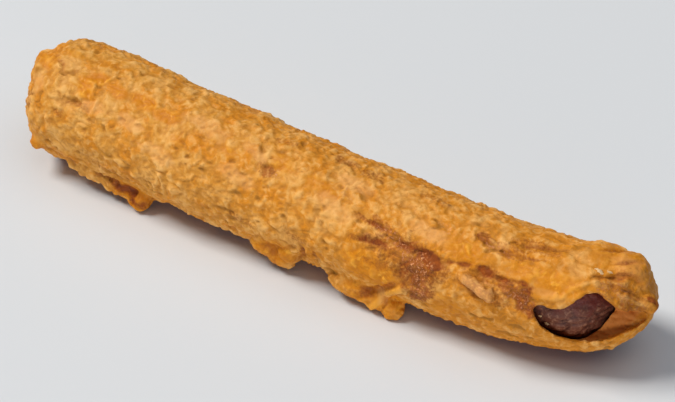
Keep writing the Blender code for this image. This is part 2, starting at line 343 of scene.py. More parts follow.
def crust_point(share, turn):
    """A point of the crust's outside, for a share of the way along and a turn round the log."""
    x, radius_share, lean = profile(
        share, NEAR_CAP_X, NEAR_CAP_LENGTH, FAR_CAP_X, FAR_CAP_LENGTH
    )
    angle = around_angle(turn)
    plain = around_point(x, angle, crust_radius(x) * radius_share)
    height = swellings(plain) + radius_share * (
        flap(x, angle) + belly(x, angle) - trough(x, angle)
    )
    outward = around_point(x, angle, 1) - around_point(x, angle, 0)
    outward = (outward * max(radius_share, POLE_SHARE) + Vector((lean, 0, 0))).normalized()
    return plain + outward * height


def ball(shape, around, along, place):
    """Adds a sphere to a bmesh, each point moved to place(share from pole to pole, turn)."""
    made = bmesh.ops.create_uvsphere(shape, u_segments=around, v_segments=along, radius=1)
    for vertex in made["verts"]:
        x, y, z = vertex.co
        share = math.acos(max(-1.0, min(1.0, z))) / math.pi
        vertex.co = place(share, math.atan2(y, x))


def finished(shape, name):
    """Turns a bmesh into an object in the scene."""
    mesh = bpy.data.meshes.new(name)
    shape.to_mesh(mesh)
    shape.free()
    obj = bpy.data.objects.new(name, mesh)
    scene.collection.objects.link(obj)
    return obj


log_shape = bmesh.new()
ball(log_shape, LOG_AROUND, LOG_ALONG, crust_point)
print("the plain log has", len(log_shape.verts), "points")

# %% [markdown]
# ## Drips, knobs and the ragged rim
# While the batter was still wet, it ran down the front and hung in drips, and the oil set them.
# Each is an egg shape laid on the log, named by where it sits. A larger egg is the root of each
# drip and a smaller one its tip. Drawn as one group, they melt together in the next step.

# %% Add the drips and knobs
LUMP_AROUND = 32
LUMP_ALONG = 20


def lump(shape, x, angle, distance, radii, swing=0.0):
    """Adds an egg of batter to a bmesh, in millimetres and degrees. Its radii run along X, round
    the log and outwards, and swing turns it in the surface, its +X end downwards."""
    centre = around_point(x * MM, angle, distance * MM)
    outward = (centre - around_point(x * MM, angle, 0)).normalized()
    along = Vector((1, 0, 0))
    upward = outward.cross(along)
    turned = along * math.cos(math.radians(swing)) - upward * math.sin(math.radians(swing))
    across = outward.cross(turned)
    axes = Matrix((turned, across, outward)).transposed().to_4x4()
    sizes = Matrix.Diagonal((radii[0] * MM, radii[1] * MM, radii[2] * MM, 1))
    bmesh.ops.create_uvsphere(
        shape,
        u_segments=LUMP_AROUND,
        v_segments=LUMP_ALONG,
        radius=1,
        matrix=Matrix.Translation(centre) @ axes @ sizes,
    )


MELTED_LUMPS = {
    # x, angle, distance from the middle line, the three radii, and the swing
    "far_knob": (-99.4, -22, 18.6, (2.8, 2.6, 2.5)),
    "far_shoulder": (-102.6, 62, 14.6, (3.6, 5.5, 3.7)),
    "far_corner": (-105.0, 80, 13.2, (3.2, 4.2, 3.6)),
    "far_ledge": (-79.5, -37, 19.0, (10, 3.2, 3.0), 5),
    "far_drip_root": (-67, -39, 19.8, (6.5, 3.0, 3.0), 10),
    "far_drip_edge": (-68, -41, 21.2, (7.5, 1.6, 1.8), 9),
    "far_drip": (-61.0, -42, 21.7, (4.4, 2.9, 3.2), 8),
    "middle_drip_root": (-13.5, -36, 18.8, (6, 3.6, 3.0), 14),
    "middle_drip": (-7.8, -41, 20.5, (4.6, 2.6, 2.7), 12),
    "middle_lobe": (-5.0, -31, 19.0, (3.8, 3.2, 2.3), 24),
    "near_drip_root": (20, -39, 19.2, (11.5, 4.4, 4.2), 4),
    "near_drip_slope": (26.5, -42.5, 21.0, (6.0, 2.0, 3.0), 6),
    "near_drip": (31.6, -42, 21.6, (4.0, 2.5, 3.5), 6),
    "rim_top": (97, 104, 13.6, (6.5, 7, 3.6)),
    "rim_tip": (105.2, 74, 5.6, (4.2, 3.6, 3.4)),
}
for place_on_crust in MELTED_LUMPS.values():
    lump(log_shape, *place_on_crust)
print("melted lumps:", ", ".join(MELTED_LUMPS))

# %% [markdown]
# ## Melting the pieces into one crust
# A Boolean would join the eggs to the log with hard creases. A voxel remesh, which fills the
# whole shape with tiny cubes and wraps a new skin round them, joins them and gives an even mesh.
# A little smoothing then rounds each junction the way that surface tension rounds wet batter.

# %% Fuse the log and its lumps
FIRST_VOXEL = 0.62 * MM
FIRST_SOFTENING = 6


def settle(obj):
    """Puts what the object's modifiers make in place of its mesh, and removes them."""
    bpy.context.view_layer.update()
    made = bpy.data.meshes.new_from_object(
        obj.evaluated_get(bpy.context.evaluated_depsgraph_get())
    )
    obj.modifiers.clear()
    obj.data = made


def rewrap(obj, voxel, softening):
    """A new even skin round the object, softened this many times."""
    remesh = obj.modifiers.new("rewrap", "REMESH")
    remesh.mode = "VOXEL"
    remesh.voxel_size = voxel
    soften = obj.modifiers.new("soften", "SMOOTH")
    soften.factor = 0.5
    soften.iterations = softening
    settle(obj)


crust = finished(log_shape, "crust")
rewrap(crust, FIRST_VOXEL, FIRST_SOFTENING)
print("the fused crust has", len(crust.data.vertices), "points")

# %% [markdown]
# ## The open end
# The tear in the crust is a smile with a raised upper lip, as the photograph sees it. So its
# outline is drawn as a curve that faces the camera, made thick, and taken away from the crust.
# The depth of the cut is given for each point of the outline: it is deepest under the sausage
# and shallow at the corners, so the torn wall faces the light, as in the photograph.

# %% Cut the opening
MOUTH_TURN = 30
MOUTH_RISE = 43
MOUTH_CENTRE_X = 84 * MM
MOUTH_DROP = 6 * MM
MOUTH_REACH = 26 * MM
MOUTH_FLARE = 1.12
MOUTH_OUTLINE = [
    # right, up, and how far the cut stays in front of the mouth's middle
    (-13.8, 2.2, 5.5), (-9.6, -3.9, 4.5), (-3.3, -6.3, 3.5), (2.0, -7.0, 3.0),
    (7.4, -6.3, 4.5), (12.6, -4.2, 6.5), (17.9, -1.4, 8.0), (19.9, 1.0, 8.5),
    (15.5, 2.3, 6.0), (10.8, 2.6, 4.0), (7.6, 5.0, 3.5), (3.0, 7.4, 4.0),
    (-1.2, 5.6, 5.0), (-4.3, 3.4, 6.0), (-8.2, 2.8, 6.0), (-12.4, 3.7, 6.0),
]
MOUTH_ROUNDING = 0.5
SAME_PLACE = 0.001 * MM


def mouth_depth(right, up):
    """How deep the cut goes here: the depths of the outline's points, the nearer the heavier."""
    total = 0.0
    weights = 0.0
    for point_right, point_up, depth in MOUTH_OUTLINE:
        away = (point_right - right) ** 2 + (point_up - up) ** 2
        weight = 1 / (MOUTH_ROUNDING + away)
        total += weight * depth
        weights += weight
    return total / weights * MM


def mouth_cutter():
    """The opening as a solid, drawn in a plane that faces the camera and flared outwards."""
    curve = bpy.data.curves.new("mouth_outline", "CURVE")
    curve.dimensions = "2D"
    curve.fill_mode = "BOTH"
    curve.resolution_u = 6
    curve.extrude = MOUTH_REACH / 2
    spline = curve.splines.new("BEZIER")
    spline.bezier_points.add(len(MOUTH_OUTLINE) - 1)
    for knot, (right, up, _) in zip(spline.bezier_points, MOUTH_OUTLINE):
        knot.co = (right * MM, up * MM, 0)
        knot.handle_left_type = knot.handle_right_type = "AUTO"
    spline.use_cyclic_u = True
    drawn = bpy.data.objects.new("mouth_outline", curve)
    scene.collection.objects.link(drawn)
    bpy.context.view_layer.update()
    mesh = bpy.data.meshes.new_from_object(
        drawn.evaluated_get(bpy.context.evaluated_depsgraph_get())
    )
    bpy.data.objects.remove(drawn)
    shape = bmesh.new()
    shape.from_mesh(mesh)
    bmesh.ops.remove_doubles(shape, verts=shape.verts, dist=SAME_PLACE)
    outward = direction(MOUTH_TURN, MOUTH_RISE)
    right = Vector((math.cos(math.radians(MOUTH_TURN)), math.sin(math.radians(MOUTH_TURN)), 0))
    up = outward.cross(right)
    middle = around_point(MOUTH_CENTRE_X, 0, 0) - up * MOUTH_DROP
    for vertex in shape.verts:
        outer = vertex.co.z > 0
        flare = MOUTH_FLARE if outer else 1.0
        depth = MOUTH_REACH if outer else mouth_depth(vertex.co.x / MM, vertex.co.y / MM)
        vertex.co = (
            middle
            + right * vertex.co.x * flare
            + up * vertex.co.y * flare
            + outward * depth
        )
    bmesh.ops.recalc_face_normals(shape, faces=shape.faces)
    return finished(shape, "mouth_cutter")


def take_away(obj, cutter):
    """Cuts one closed mesh from another, and removes the cutter."""
    cut = obj.modifiers.new("cut", "BOOLEAN")
    cut.operation = "DIFFERENCE"
    cut.solver = "MANIFOLD"
    cut.object = cutter
    settle(obj)
    bpy.data.objects.remove(cutter)


take_away(crust, mouth_cutter())
print("after the opening is cut, the crust has", len(crust.data.vertices), "points")

# %% [markdown]
# ## A fine skin, and room for the sausage
# The cut leaves sharp edges and long thin faces, so the crust is wrapped once more, finely, and
# its lips come out rounded. A few small lumps that must stay crisp join in only now: the loose
# crumb beside the opening and the points of the rim. Then the sausage's own space is taken
# away, a little wider at the open end. That surface is hidden, so it can stay coarse.

# %% Wrap finely and hollow out
FINE_VOXEL = 0.46 * MM
FINE_SOFTENING = 3
SAVELOY_RADIUS = 13.7 * MM
SAVELOY_FAR_CAP_X = -87 * MM
SAVELOY_NEAR_CAP_X = 85 * MM
SAVELOY_CAP_LENGTH = 11.5 * MM
SAVELOY_GAP = 0.3 * MM
SAVELOY_END_GAP = 0.45 * MM
SAVELOY_END_SHARE = 0.13
ROOM_AROUND = 72
ROOM_ALONG = 120


def saveloy_point(share, turn, extra=0.0):
    """A point of the sausage's skin, or of a skin that lies extra metres outside it."""
    x, radius_share, _ = profile(
        share,
        SAVELOY_NEAR_CAP_X,
        SAVELOY_CAP_LENGTH + extra,
        SAVELOY_FAR_CAP_X,
        SAVELOY_CAP_LENGTH + extra,
    )
    return around_point(x, around_angle(turn), (SAVELOY_RADIUS + extra) * radius_share)


def room_point(share, turn):
    """A point of the sausage's own space, which is a little wider at the open end."""
    end = 1 - smooth_step(0, SAVELOY_END_SHARE, share)
    return saveloy_point(share, turn, SAVELOY_GAP + SAVELOY_END_GAP * end)


CRISP_LUMPS = {
    "crumb": (58.0, 31.5, 18.9, (5.2, 2.3, 2.3), 17),
    "crumb_end": (62.8, 26.6, 19.2, (3.6, 2.4, 2.4), 19),
    "rim_lobe": (101.6, 97, 11.2, (3.0, 3.4, 2.4)),
    "tip_point": (106.6, 74, 7.2, (2.2, 1.5, 1.5)),
    "patch_bump": (-15.2, 46, 18.3, (2.0, 1.5, 1.1), 10),
}
crisp_shape = bmesh.new()
crisp_shape.from_mesh(crust.data)
for place_on_crust in CRISP_LUMPS.values():
    lump(crisp_shape, *place_on_crust)
crisp_shape.to_mesh(crust.data)
crisp_shape.free()
rewrap(crust, FINE_VOXEL, FINE_SOFTENING)
room_shape = bmesh.new()
ball(room_shape, ROOM_AROUND, ROOM_ALONG, room_point)
take_away(crust, finished(room_shape, "room"))
print("the hollow crust has", len(crust.data.vertices), "points")

# %% [markdown]
# ## Where the crust is stained
# Fried batter isn't one colour. Smooth blisters turn orange and shine, thin batter browns, torn
# places show a pinkish crumb, and dry ones stay pale. Each such patch is an ellipse on the
# surface, and noise frays its edge, least where the batter is smooth and oily. The same patches
# steer the relief below, so colour and shape agree.

# %% List the oily patches
# each row: x, angle, half length, half width, slant and strength, in millimetres and degrees
OILY_PATCHES = [
    (-101.5, 74, 4.5, 4.0, 20, 0.8),
    (-84.3, 62, 3.0, 4.8, -25, 1.0),
    (-81.5, 73, 4.6, 2.5, -20, 1.0),
    (-73.0, 69, 5.0, 2.5, 15, 0.95),
    (-63.7, 70, 6.0, 2.6, 5, 1.0),
    (-54.5, 66, 6.0, 2.8, 0, 1.0),
    (-94.0, 88, 5.5, 1.6, 5, 0.6),
    (-48.0, 50, 3.0, 1.6, 5, 0.5),
    (-30.0, 58, 3.4, 1.8, 5, 0.6),
    (-12.0, 68, 6.0, 3.0, 20, 0.6),
    (2.0, 62, 6.5, 2.6, 10, 0.6),
    (22.0, 6, 8.0, 6.0, 10, 0.95),
    (30.0, -2, 6.0, 6.0, 10, 0.95),
    (52.0, 56, 8.0, 4.0, 10, 0.8),
    (82.0, 50, 9.0, 5.0, 4, 0.75),
    (72.0, 56, 8.0, 4.0, 4, 0.6),
    (93.0, 98, 8.0, 8.0, 0, 0.65),
    (100.0, 96, 6.0, 8.0, 0, 0.6),
    (50.0, -4, 6.0, 5.0, 0, 0.5),
    (-99.4, -22, 4.0, 4.0, 0, 0.9),
    (-63.5, -38, 8.0, 5.0, 0, 0.9),
    (-12.0, -32, 7.0, 4.5, 10, 0.9),
    (-8.0, -24, 6.0, 4.5, 14, 0.9),
    (26.0, -34, 12.0, 5.0, 5, 0.75),
]
print("oily patches:", len(OILY_PATCHES))

# %% [markdown]
# The strong brown patches follow the trough and the tear. The weak ones, under a half, are no
# more than a breath of brown, which keeps the gold from looking sprayed on.

# %% List the brown patches
BROWN_PATCHES = [
    (27.0, 50, 8.0, 1.6, 16, 0.45),
    (25.0, 33, 6.5, 1.6, 12, 0.55),
    (36.0, 40, 7.0, 2.6, 10, 0.65),
    (34.0, 30, 15.0, 9.0, 10, 0.36),
    (30.0, 42, 9.0, 4.0, 14, 0.4),
    (64.0, 34, 12.0, 7.0, 12, 0.32),
    (46.0, 30, 5.0, 5.0, 0, 0.45),
    (100.0, 62, 9.0, 7.0, 0, 0.34),
    (43.5, 37, 5.0, 3.0, 15, 1.0),
    (36.6, 18, 3.4, 6.5, -8, 0.6),
    (40.4, 20, 6.8, 8.5, 0, 0.72),
    (41.5, 2, 4.8, 5.5, 20, 0.7),
    (33.0, 28, 5.0, 3.5, 10, 0.45),
    (60.0, 46, 3.6, 1.8, 5, 0.8),
    (70.5, 34, 6.5, 3.4, 20, 0.6),
    (74.3, 35, 2.2, 3.6, 10, 0.7),
    (74.2, 26, 3.0, 3.6, 20, 0.7),
    (76.6, 21, 1.8, 3.4, 0, 0.75),
    (65.0, 20, 4.0, 1.6, 14, 0.4),
    (-16.0, 56, 4.4, 2.4, 8, 0.45),
    (-70.0, -13, 9.0, 2.2, 6, 0.25),
    (55.5, 76, 3.2, 1.8, 0, 0.55),
    (64.0, 73, 8.0, 3.0, 0, 0.36),
    (72.0, 86, 10.0, 3.0, 0, 0.34),
    (0.5, 4, 6.0, 1.5, 10, 0.3),
    (-21.0, 0, 6.0, 2.2, 10, 0.3),
    (99.5, 62, 8.0, 3.0, 0, 0.4),
    (107.8, 74, 2.4, 2.6, 0, 0.7),
    (103.0, 44, 4.0, 3.0, 0, 0.5),
    (5.0, 100, 7.0, 2.0, 5, 0.4),
    (14.0, 96, 6.0, 2.4, 5, 0.35),
    (36.0, 98, 8.0, 2.2, 0, 0.3),
    (-14.0, 92, 5.0, 1.6, 0, 0.3),
    (-84.0, 44, 3.4, 1.0, 0, 0.35),
    (-104.0, 25, 3.0, 5.0, 0, 0.35),
]
print("brown patches:", len(BROWN_PATCHES))

# %% [markdown]
# Crumbly places lie mostly inside the brown ones, where the thin skin of batter broke. Pale ones
# are thick batter that stood clear of the oil, such as the loose crumb by the opening. The two on
# top of the rim of the opening, at 88 and 98 mm, are painted light instead: they lighten the rim,
# which faces away from the key lamp.

# %% List the crumbly and pale patches
CRUMBLY_PATCHES = [
    (40.5, 24, 4.0, 5.0, 10, 1.0),
    (41.0, 4, 3.4, 4.5, 10, 0.7),
    (29.0, 44, 6.0, 2.2, 16, 0.7),
    (36.0, 30, 5.0, 2.4, 10, 0.6),
    (44.0, 71, 4.0, 1.6, 10, 0.6),
    (60.0, 29, 6.0, 2.0, 17, 0.55),
    (60.0, 70, 6.0, 2.2, 8, 0.45),
    (72.0, 31, 5.0, 3.2, 16, 0.6),
    (75.0, 25, 2.6, 3.4, 10, 0.6),
    (-12.6, 56, 1.6, 0.8, 0, 0.8),
    (99.0, 58, 8.0, 4.0, 0, 0.4),
    (10.0, 66, 5.0, 2.0, 10, 0.35),
    (-60.0, 30, 4.0, 2.0, 0, 0.35),
]
PALE_PATCHES = [
    (60.0, 29.6, 7.5, 2.6, 17, 0.9),
    (-79.0, 45, 5.0, 2.5, 0, 0.6),
    (-101.0, 50, 3.0, 5.0, 0, 0.5),
    (-66.0, 47, 6.0, 2.5, 10, 0.6),
    (-40.0, 72, 9.0, 3.0, 5, 0.5),
    (-52.0, 30, 7.0, 3.0, 10, 0.5),
    (-22.0, 68, 6.0, 2.0, 12, 0.5),
    (-25.0, 40, 7.0, 3.0, 10, 0.5),
    (8.0, 50, 8.0, 3.0, 12, 0.5),
    (12.0, 78, 7.0, 2.5, 5, 0.5),
    (40.0, 60, 8.0, 3.0, 8, 0.6),
    (29.0, -28, 3.0, 2.5, 20, 0.6),
    # painted light: lightens the rim of the opening, which faces away from the key lamp
    (98.0, 92, 6.0, 4.5, 0, 0.4),
    (80.0, 41, 6.0, 1.4, 4, 0.3),
    # painted light: lightens the top of the rim of the opening
    (88.0, 92, 7.0, 3.5, 0, 0.12),
]
print("crumbly and pale patches:", len(CRUMBLY_PATCHES), len(PALE_PATCHES))

# %% [markdown]
# To ask how strongly a place is stained, it is first named by x and angle, then turned into
# each patch's own directions. A patch is full inside its core and gone outside its edge.

# %% Measure the patches at a place
FRAY_SIZE = 3.0 * MM
FRAY_DEPTH = {"oily": 0.25, "brown": 0.45, "crumbly": 0.45, "pale": 0.45}
PATCH_CORE = 0.55
PATCH_EDGE = 1.15


def place_on_log(point):
    """(x, angle, distance) of a point, counted from the log's middle line."""
    y, z = centre_line(point.x)
    angle = math.degrees(math.atan2(point.z - z, y - point.y))
    return point.x, (angle + 90) % 360 - 90, math.hypot(point.z - z, point.y - y)


def patch_strength(x, angle, patches, fray):
    """The strongest of these patches at a place: 1 inside, 0 outside, with frayed edges."""
    strongest = 0.0
    for middle_x, middle_angle, half_length, half_width, slant, strength in patches:
        along = x / MM - middle_x
        if abs(along) > 2 * max(half_length, half_width):
            continue
        around = math.radians(angle - middle_angle) * crust_radius(x) / MM
        lean = math.radians(slant)
        on_length = along * math.cos(lean) - around * math.sin(lean)
        on_width = along * math.sin(lean) + around * math.cos(lean)
        reach = math.hypot(on_length / half_length, on_width / half_width) + fray
        inner = 1 - smooth_step(PATCH_CORE, PATCH_EDGE, reach)
        strongest = max(strongest, strength * inner)
    return strongest


PATCHES = {
    "oily": OILY_PATCHES,
    "brown": BROWN_PATCHES,
    "crumbly": CRUMBLY_PATCHES,
    "pale": PALE_PATCHES,
}
print("patches:", {name: len(patches) for name, patches in PATCHES.items()})

# %% [markdown]
# ## Drawn folds
# Some lines are too telling to leave to chance: the crevice behind each drip, the curl on the
# near one, the torn edge of the blister by the opening. Each is a path on the surface, through
# two to five places, with a half width and a height in millimetres. A negative height sinks a
# crease, and a crease can be browned as well: partly browning, because oil pools and cooks
# there, and partly painted shade, which darkens the crevice.

# %% Draw the folds
FOLDS = {
    # name: (places as x and angle, half width, height, browning and painted shade)
    "behind_far_drip": ([(-77, -31), (-71, -31), (-65, -33.5), (-57, -42)], 0.6, -1.0, 1.0),
    "far_drip_hollow": ([(-74, -36), (-68, -38)], 0.6, -0.3, 0.1),
    "far_drip_rim": ([(-84, -34), (-75, -39), (-66, -44), (-59, -47)], 0.8, 0.5, 0.0),
    "above_far_ledge": ([(-96, -20), (-90, -24), (-84, -25)], 0.9, -0.45, 0.45),
    "over_middle_drip": ([(-13, -25), (-9, -23), (-4.5, -16), (-0.5, -8)], 0.8, -0.5, 0.12),
    "middle_drip_split": ([(-9.5, -24), (-9.8, -36)], 0.8, -0.4, 0.1),
    "past_middle_drip": ([(0.8, -3), (1.4, -13), (-0.8, -32)], 0.9, -0.9, 0.8),
    "ridge_past_middle_drip": ([(3.0, -3), (3.3, -17)], 0.8, 0.45, 0.0),
    "second_past_middle_drip": ([(5.0, -2), (5.6, -16)], 0.7, -0.4, 0.5),
    "near_curl": ([(24, -42), (27.5, -34), (30.2, -24), (34, -12), (38.5, -4)], 1.0, 1.0, 0.0),
    "behind_near_curl": ([(21, -30), (25.5, -27), (28.8, -16), (32.5, -6)], 1.1, -1.0, 0.6),
    "below_near_curl": ([(31.5, -26), (35, -15), (39, -9)], 0.8, -0.6, 0.45),
    "upper_trough_line": ([(16, 50), (24.6, 48.5), (31.8, 45), (37, 41)], 0.7, -0.5, 0.85),
    "trough_line": ([(29, 39), (36, 40), (41.5, 38), (46.3, 38.3)], 1.3, -0.9, 1.0),
    "trough_line_end": ([(46.3, 38.3), (50.8, 43), (56, 46.5)], 0.6, -0.5, 0.85),
    "lower_trough_line": ([(17, 29), (23, 32), (31, 36)], 0.8, -0.5, 0.85),
    "red_column": ([(35.4, 27), (34.8, 15), (37.5, 5)], 1.3, -0.5, 0.6),
    "under_crumb": ([(53, 28), (57.5, 24), (61, 19.5), (65.5, 18)], 0.8, -0.7, 0.55),
    "crumb_pit": ([(57, 43.5), (60.4, 45), (62, 48)], 1.7, -0.9, 0.9),
    "blister_edge": ([(61.5, 43.5), (66, 43.5), (72, 46), (75.5, 43)], 0.8, -0.6, 0.85),
    "torn_edge": ([(69.5, 38), (71.6, 30), (73.2, 22)], 0.8, -0.7, 0.95),
    "tear_beside_opening": ([(73.5, 44), (75.3, 36), (75.8, 29)], 1.0, -0.7, 1.0),
    "upper_lip": ([(79, 36.5), (84.5, 39.5), (87, 51), (91, 60.5), (95, 60)], 0.9, 0.4, 0.0),
    "under_rim": ([(90.5, 65), (95, 72), (98.5, 77), (102.5, 84)], 0.8, -1.0, 0.45),
    "wall_streak": ([(95, 62), (100, 65), (105, 68)], 0.7, -0.45, 0.4),
    "wall_streak_low": ([(98, 55), (102, 57), (105.5, 58)], 0.6, 0.4, 0.0),
    "rim_crease": ([(93.5, 86), (97, 93), (100.5, 104)], 0.7, -0.6, 0.45),
    "rim_crease_top": ([(88, 100), (92, 112), (95, 126)], 0.7, -0.5, 0.35),
    "blister_streak": ([(63, 83), (71.6, 88), (81, 90)], 0.7, -0.45, 0.6),
    "blister_streak_low": ([(61, 68), (68, 72), (76, 71)], 0.6, -0.45, 0.55),
    "blister_streak_high": ([(68, 99), (77, 101), (86, 98)], 0.6, 0.35, 0.0),
    "dark_nick": ([(53.5, 75), (57.5, 77.5)], 1.3, -0.5, 0.7),
    "brown_patch": ([(-18.5, 54.5), (-13.6, 59.5)], 1.3, -0.45, 0.45),
    "patch_ridge": ([(-13, 57.5), (-9.3, 61), (-4.5, 58.5)], 0.7, 0.5, 0.0),
    "far_shoulder_crease": ([(-99, 82), (-95.5, 72), (-93, 62)], 0.9, -0.45, 0.35),
    "far_ripple": ([(-90.5, 39), (-86, 43), (-81, 42)], 0.8, -0.4, 0.35),
    "far_ripple_low": ([(-93, 31), (-88, 28)], 0.9, -0.4, 0.4),
}
print("folds:", len(FOLDS))

# %% [markdown]
# A drawn line of even strength looks like a marker stroke. So each fold fades towards both
# ends, and noise frays its width and its browning and painted shade. Here the crust is treated
# as if unrolled.

# %% Measure the folds at a place
FOLD_CORE = 0.2
FOLD_EDGE = 1.9
FOLD_RANGE = 2.5
FOLD_END = 0.35
FOLD_FADE = 3.2
FOLD_BROWNING_AND_SHADE = 0.75
FOLD_BROWNING_AND_SHADE_WAVER = 0.45


def on_sheet(x, angle):
    """A place on the crust as if it were unrolled flat, in millimetres."""
    return Vector((x, math.radians(angle) * CRUST_RADIUS / MM))


fold_pieces = []
for places, half_width, height, browning_and_shade in FOLDS.values():
    corners = [on_sheet(*corner) for corner in places]
    pieces = len(corners) - 1
    for number, (one, other) in enumerate(zip(corners, corners[1:])):
        fold_pieces.append((one, other - one, half_width, height, browning_and_shade, number, pieces))


def folds_at(x, angle, waver):
    """The height that the folds add at a place, and their browning and painted shade. Waver frays
    them.
    """
    here = on_sheet(x / MM, angle)
    height, browning_and_shade = 0.0, 0.0
    for begin, way, half_width, fold_height, fold_browning_and_shade, number, pieces in fold_pieces:
        if abs(here.x - begin.x - way.x / 2) > abs(way.x) / 2 + FOLD_RANGE * half_width:
            continue
        share = min(1.0, max(0.0, (here - begin).dot(way) / way.length_squared))
        away = (here - begin - way * share).length + waver
        reach = 1 - smooth_step(FOLD_CORE, FOLD_EDGE, away / half_width)
        along_fold = (number + share) / pieces
        reach *= min(1.0, FOLD_END + FOLD_FADE * min(along_fold, 1 - along_fold))
        if abs(fold_height) * reach > abs(height):
            height = fold_height * reach
        browning_and_shade = max(browning_and_shade, fold_browning_and_shade * reach)
    return height * MM, browning_and_shade * (FOLD_BROWNING_AND_SHADE - FOLD_BROWNING_AND_SHADE_WAVER * waver)


print("the folds have", len(fold_pieces), "straight pieces")

# %% [markdown]
# ## The fine relief
# Close up, the crust is all billows and domes with creases between them, from 1 to 4 mm across,
# with finer grains on top and a pit here and there. Bump alone would leave the outline smooth, so
# these are real shape. Domes come from the distances to scattered seeds, and billows from noise
# that is folded at zero. Both are bent by more noise, so that they look like neither pebbles nor
# clouds. Each gets its own shift, because two noises that bend alike would show it.

# %% Choose the noises
BEND_SIZE = 4.0 * MM
BEND_DEPTH = 0.8
DOME_SHIFT, BILLOW_SHIFT, SMALL_BILLOW_SHIFT = 11, 23, 17
GRAIN_SHIFT, CRUMB_SHIFT, PIT_SHIFT = 3, 7, 31
DOME_STEEPNESS = 1.3
DOME_ROUNDING = 0.8
BILLOW_ROUNDING = 0.07
BILLOW_GAIN = 1.6
BILLOW_SINK = 0.3
PIT_SPACING = 5.5 * MM
PIT_REACH = 0.30
PIT_CORE = 0.3
PIT_STRETCH = Vector((0.6, 1.0, 1.0))


def bent(point, size, shift):
    """The point in units of size, pushed about by noise."""
    push = noise.noise_vector(point / BEND_SIZE + Vector((shift, 0, 0)))
    return point / size + push * BEND_DEPTH


def stretched(point, stretch):
    """The point in a space that is squeezed along the log, so that what is drawn there is long."""
    return Vector((point.x * stretch.x, point.y * stretch.y, point.z * stretch.z))


def domes(point, size, shift):
    """Rounded domes with creases between them, from -0.5 to 0.5."""
    distances, _ = noise.voronoi(bent(point, size, shift))
    rise = min(1.0, DOME_STEEPNESS * (distances[1] - distances[0]))
    return rise**DOME_ROUNDING - 0.5


def billows(point, size, shift):
    """Soft lumps of all sizes and shapes, like cauliflower, from about -0.3 to 0.7."""
    folded = math.hypot(noise.noise(bent(point, size, shift)), BILLOW_ROUNDING)
    return BILLOW_GAIN * folded - BILLOW_SINK


def pit(point):
    """1 in the middle of a scattered pit, and 0 outside it."""
    distances, _ = noise.voronoi(bent(stretched(point, PIT_STRETCH), PIT_SPACING, PIT_SHIFT))
    return 1 - smooth_step(PIT_CORE * PIT_REACH, PIT_REACH, distances[0])


print("the smallest pit spacing is", round(PIT_SPACING / MM, 1), "mm")

# %% [markdown]
# ## Inside or outside
# The torn wall is a different surface from the fried outside, and the hidden room round the
# sausage needs no relief at all. Two distances tell them apart: how far a point lies below the
# plain outline of the log, and how far it stands off the sausage.

# %% Measure two distances
INSIDE_DEPTH = 1.6 * MM


def cap_share(x, near_x, near_length, far_x, far_length):
    """How far along a rounded end x lies: 0 where it begins, 1 at its tip."""
    if x > near_x:
        return (x - near_x) / near_length
    return max(0.0, far_x - x) / far_length


def depth_below_crust(x, distance):
    """How far a place lies inside the plain outline of the log."""
    share = cap_share(x, NEAR_CAP_X, NEAR_CAP_LENGTH, FAR_CAP_X, FAR_CAP_LENGTH)
    radius = crust_radius(x)
    return radius * (1 - math.hypot(distance / radius, share))


def saveloy_clearance(x, distance):
    """How far a place lies outside the sausage."""
    share = cap_share(
        x, SAVELOY_NEAR_CAP_X, SAVELOY_CAP_LENGTH, SAVELOY_FAR_CAP_X, SAVELOY_CAP_LENGTH
    )
    return SAVELOY_RADIUS * (math.hypot(distance / SAVELOY_RADIUS, share) - 1)


print("the torn wall begins", INSIDE_DEPTH / MM, "mm below the outline")

# %% [markdown]
# ## How high each kind of relief stands
# A slow noise, the mood, makes one part of the crust domed and another billowy, as real batter
# is. Oily and pale patches stay smoother, crumbly ones get rough, and near the opening the
# blister is drawn out into streaks along the log.

# %% Add up the relief
DOME_SIZE = 4.4 * MM
DOME_HEIGHT = 0.42 * MM
BILLOW_SIZE = 4.0 * MM
BILLOW_HEIGHT = 0.85 * MM
SMALL_BILLOW_SIZE = 1.9 * MM
SMALL_BILLOW_HEIGHT = 0.32 * MM
MOOD_SIZE = 13.0 * MM
MOODLESS_SHARE = 0.85
DOME_MOOD = 0.9
BILLOW_MOOD = 0.7
GRAIN_SIZE = 1.2 * MM
GRAIN_HEIGHT = 0.11 * MM
PIT_DEPTH = 0.55 * MM
STREAK_SIZE = 1.9 * MM
STREAK_STRETCH = Vector((0.2, 1.0, 1.0))
STREAK_HEIGHT = 0.26 * MM
STREAK_START_X = 45 * MM
STREAK_FULL_X = 75 * MM
CRUMB_SIZE = 1.1 * MM
CRUMB_HEIGHT = 0.42 * MM
CRUMB_MIDDLE = 0.25
OILY_SMOOTHING = 0.35
PALE_SMOOTHING = 0.55
PALE_POWER = 4
INSIDE_SMOOTHING = 0.15
STREAK_SMOOTHING = 0.35


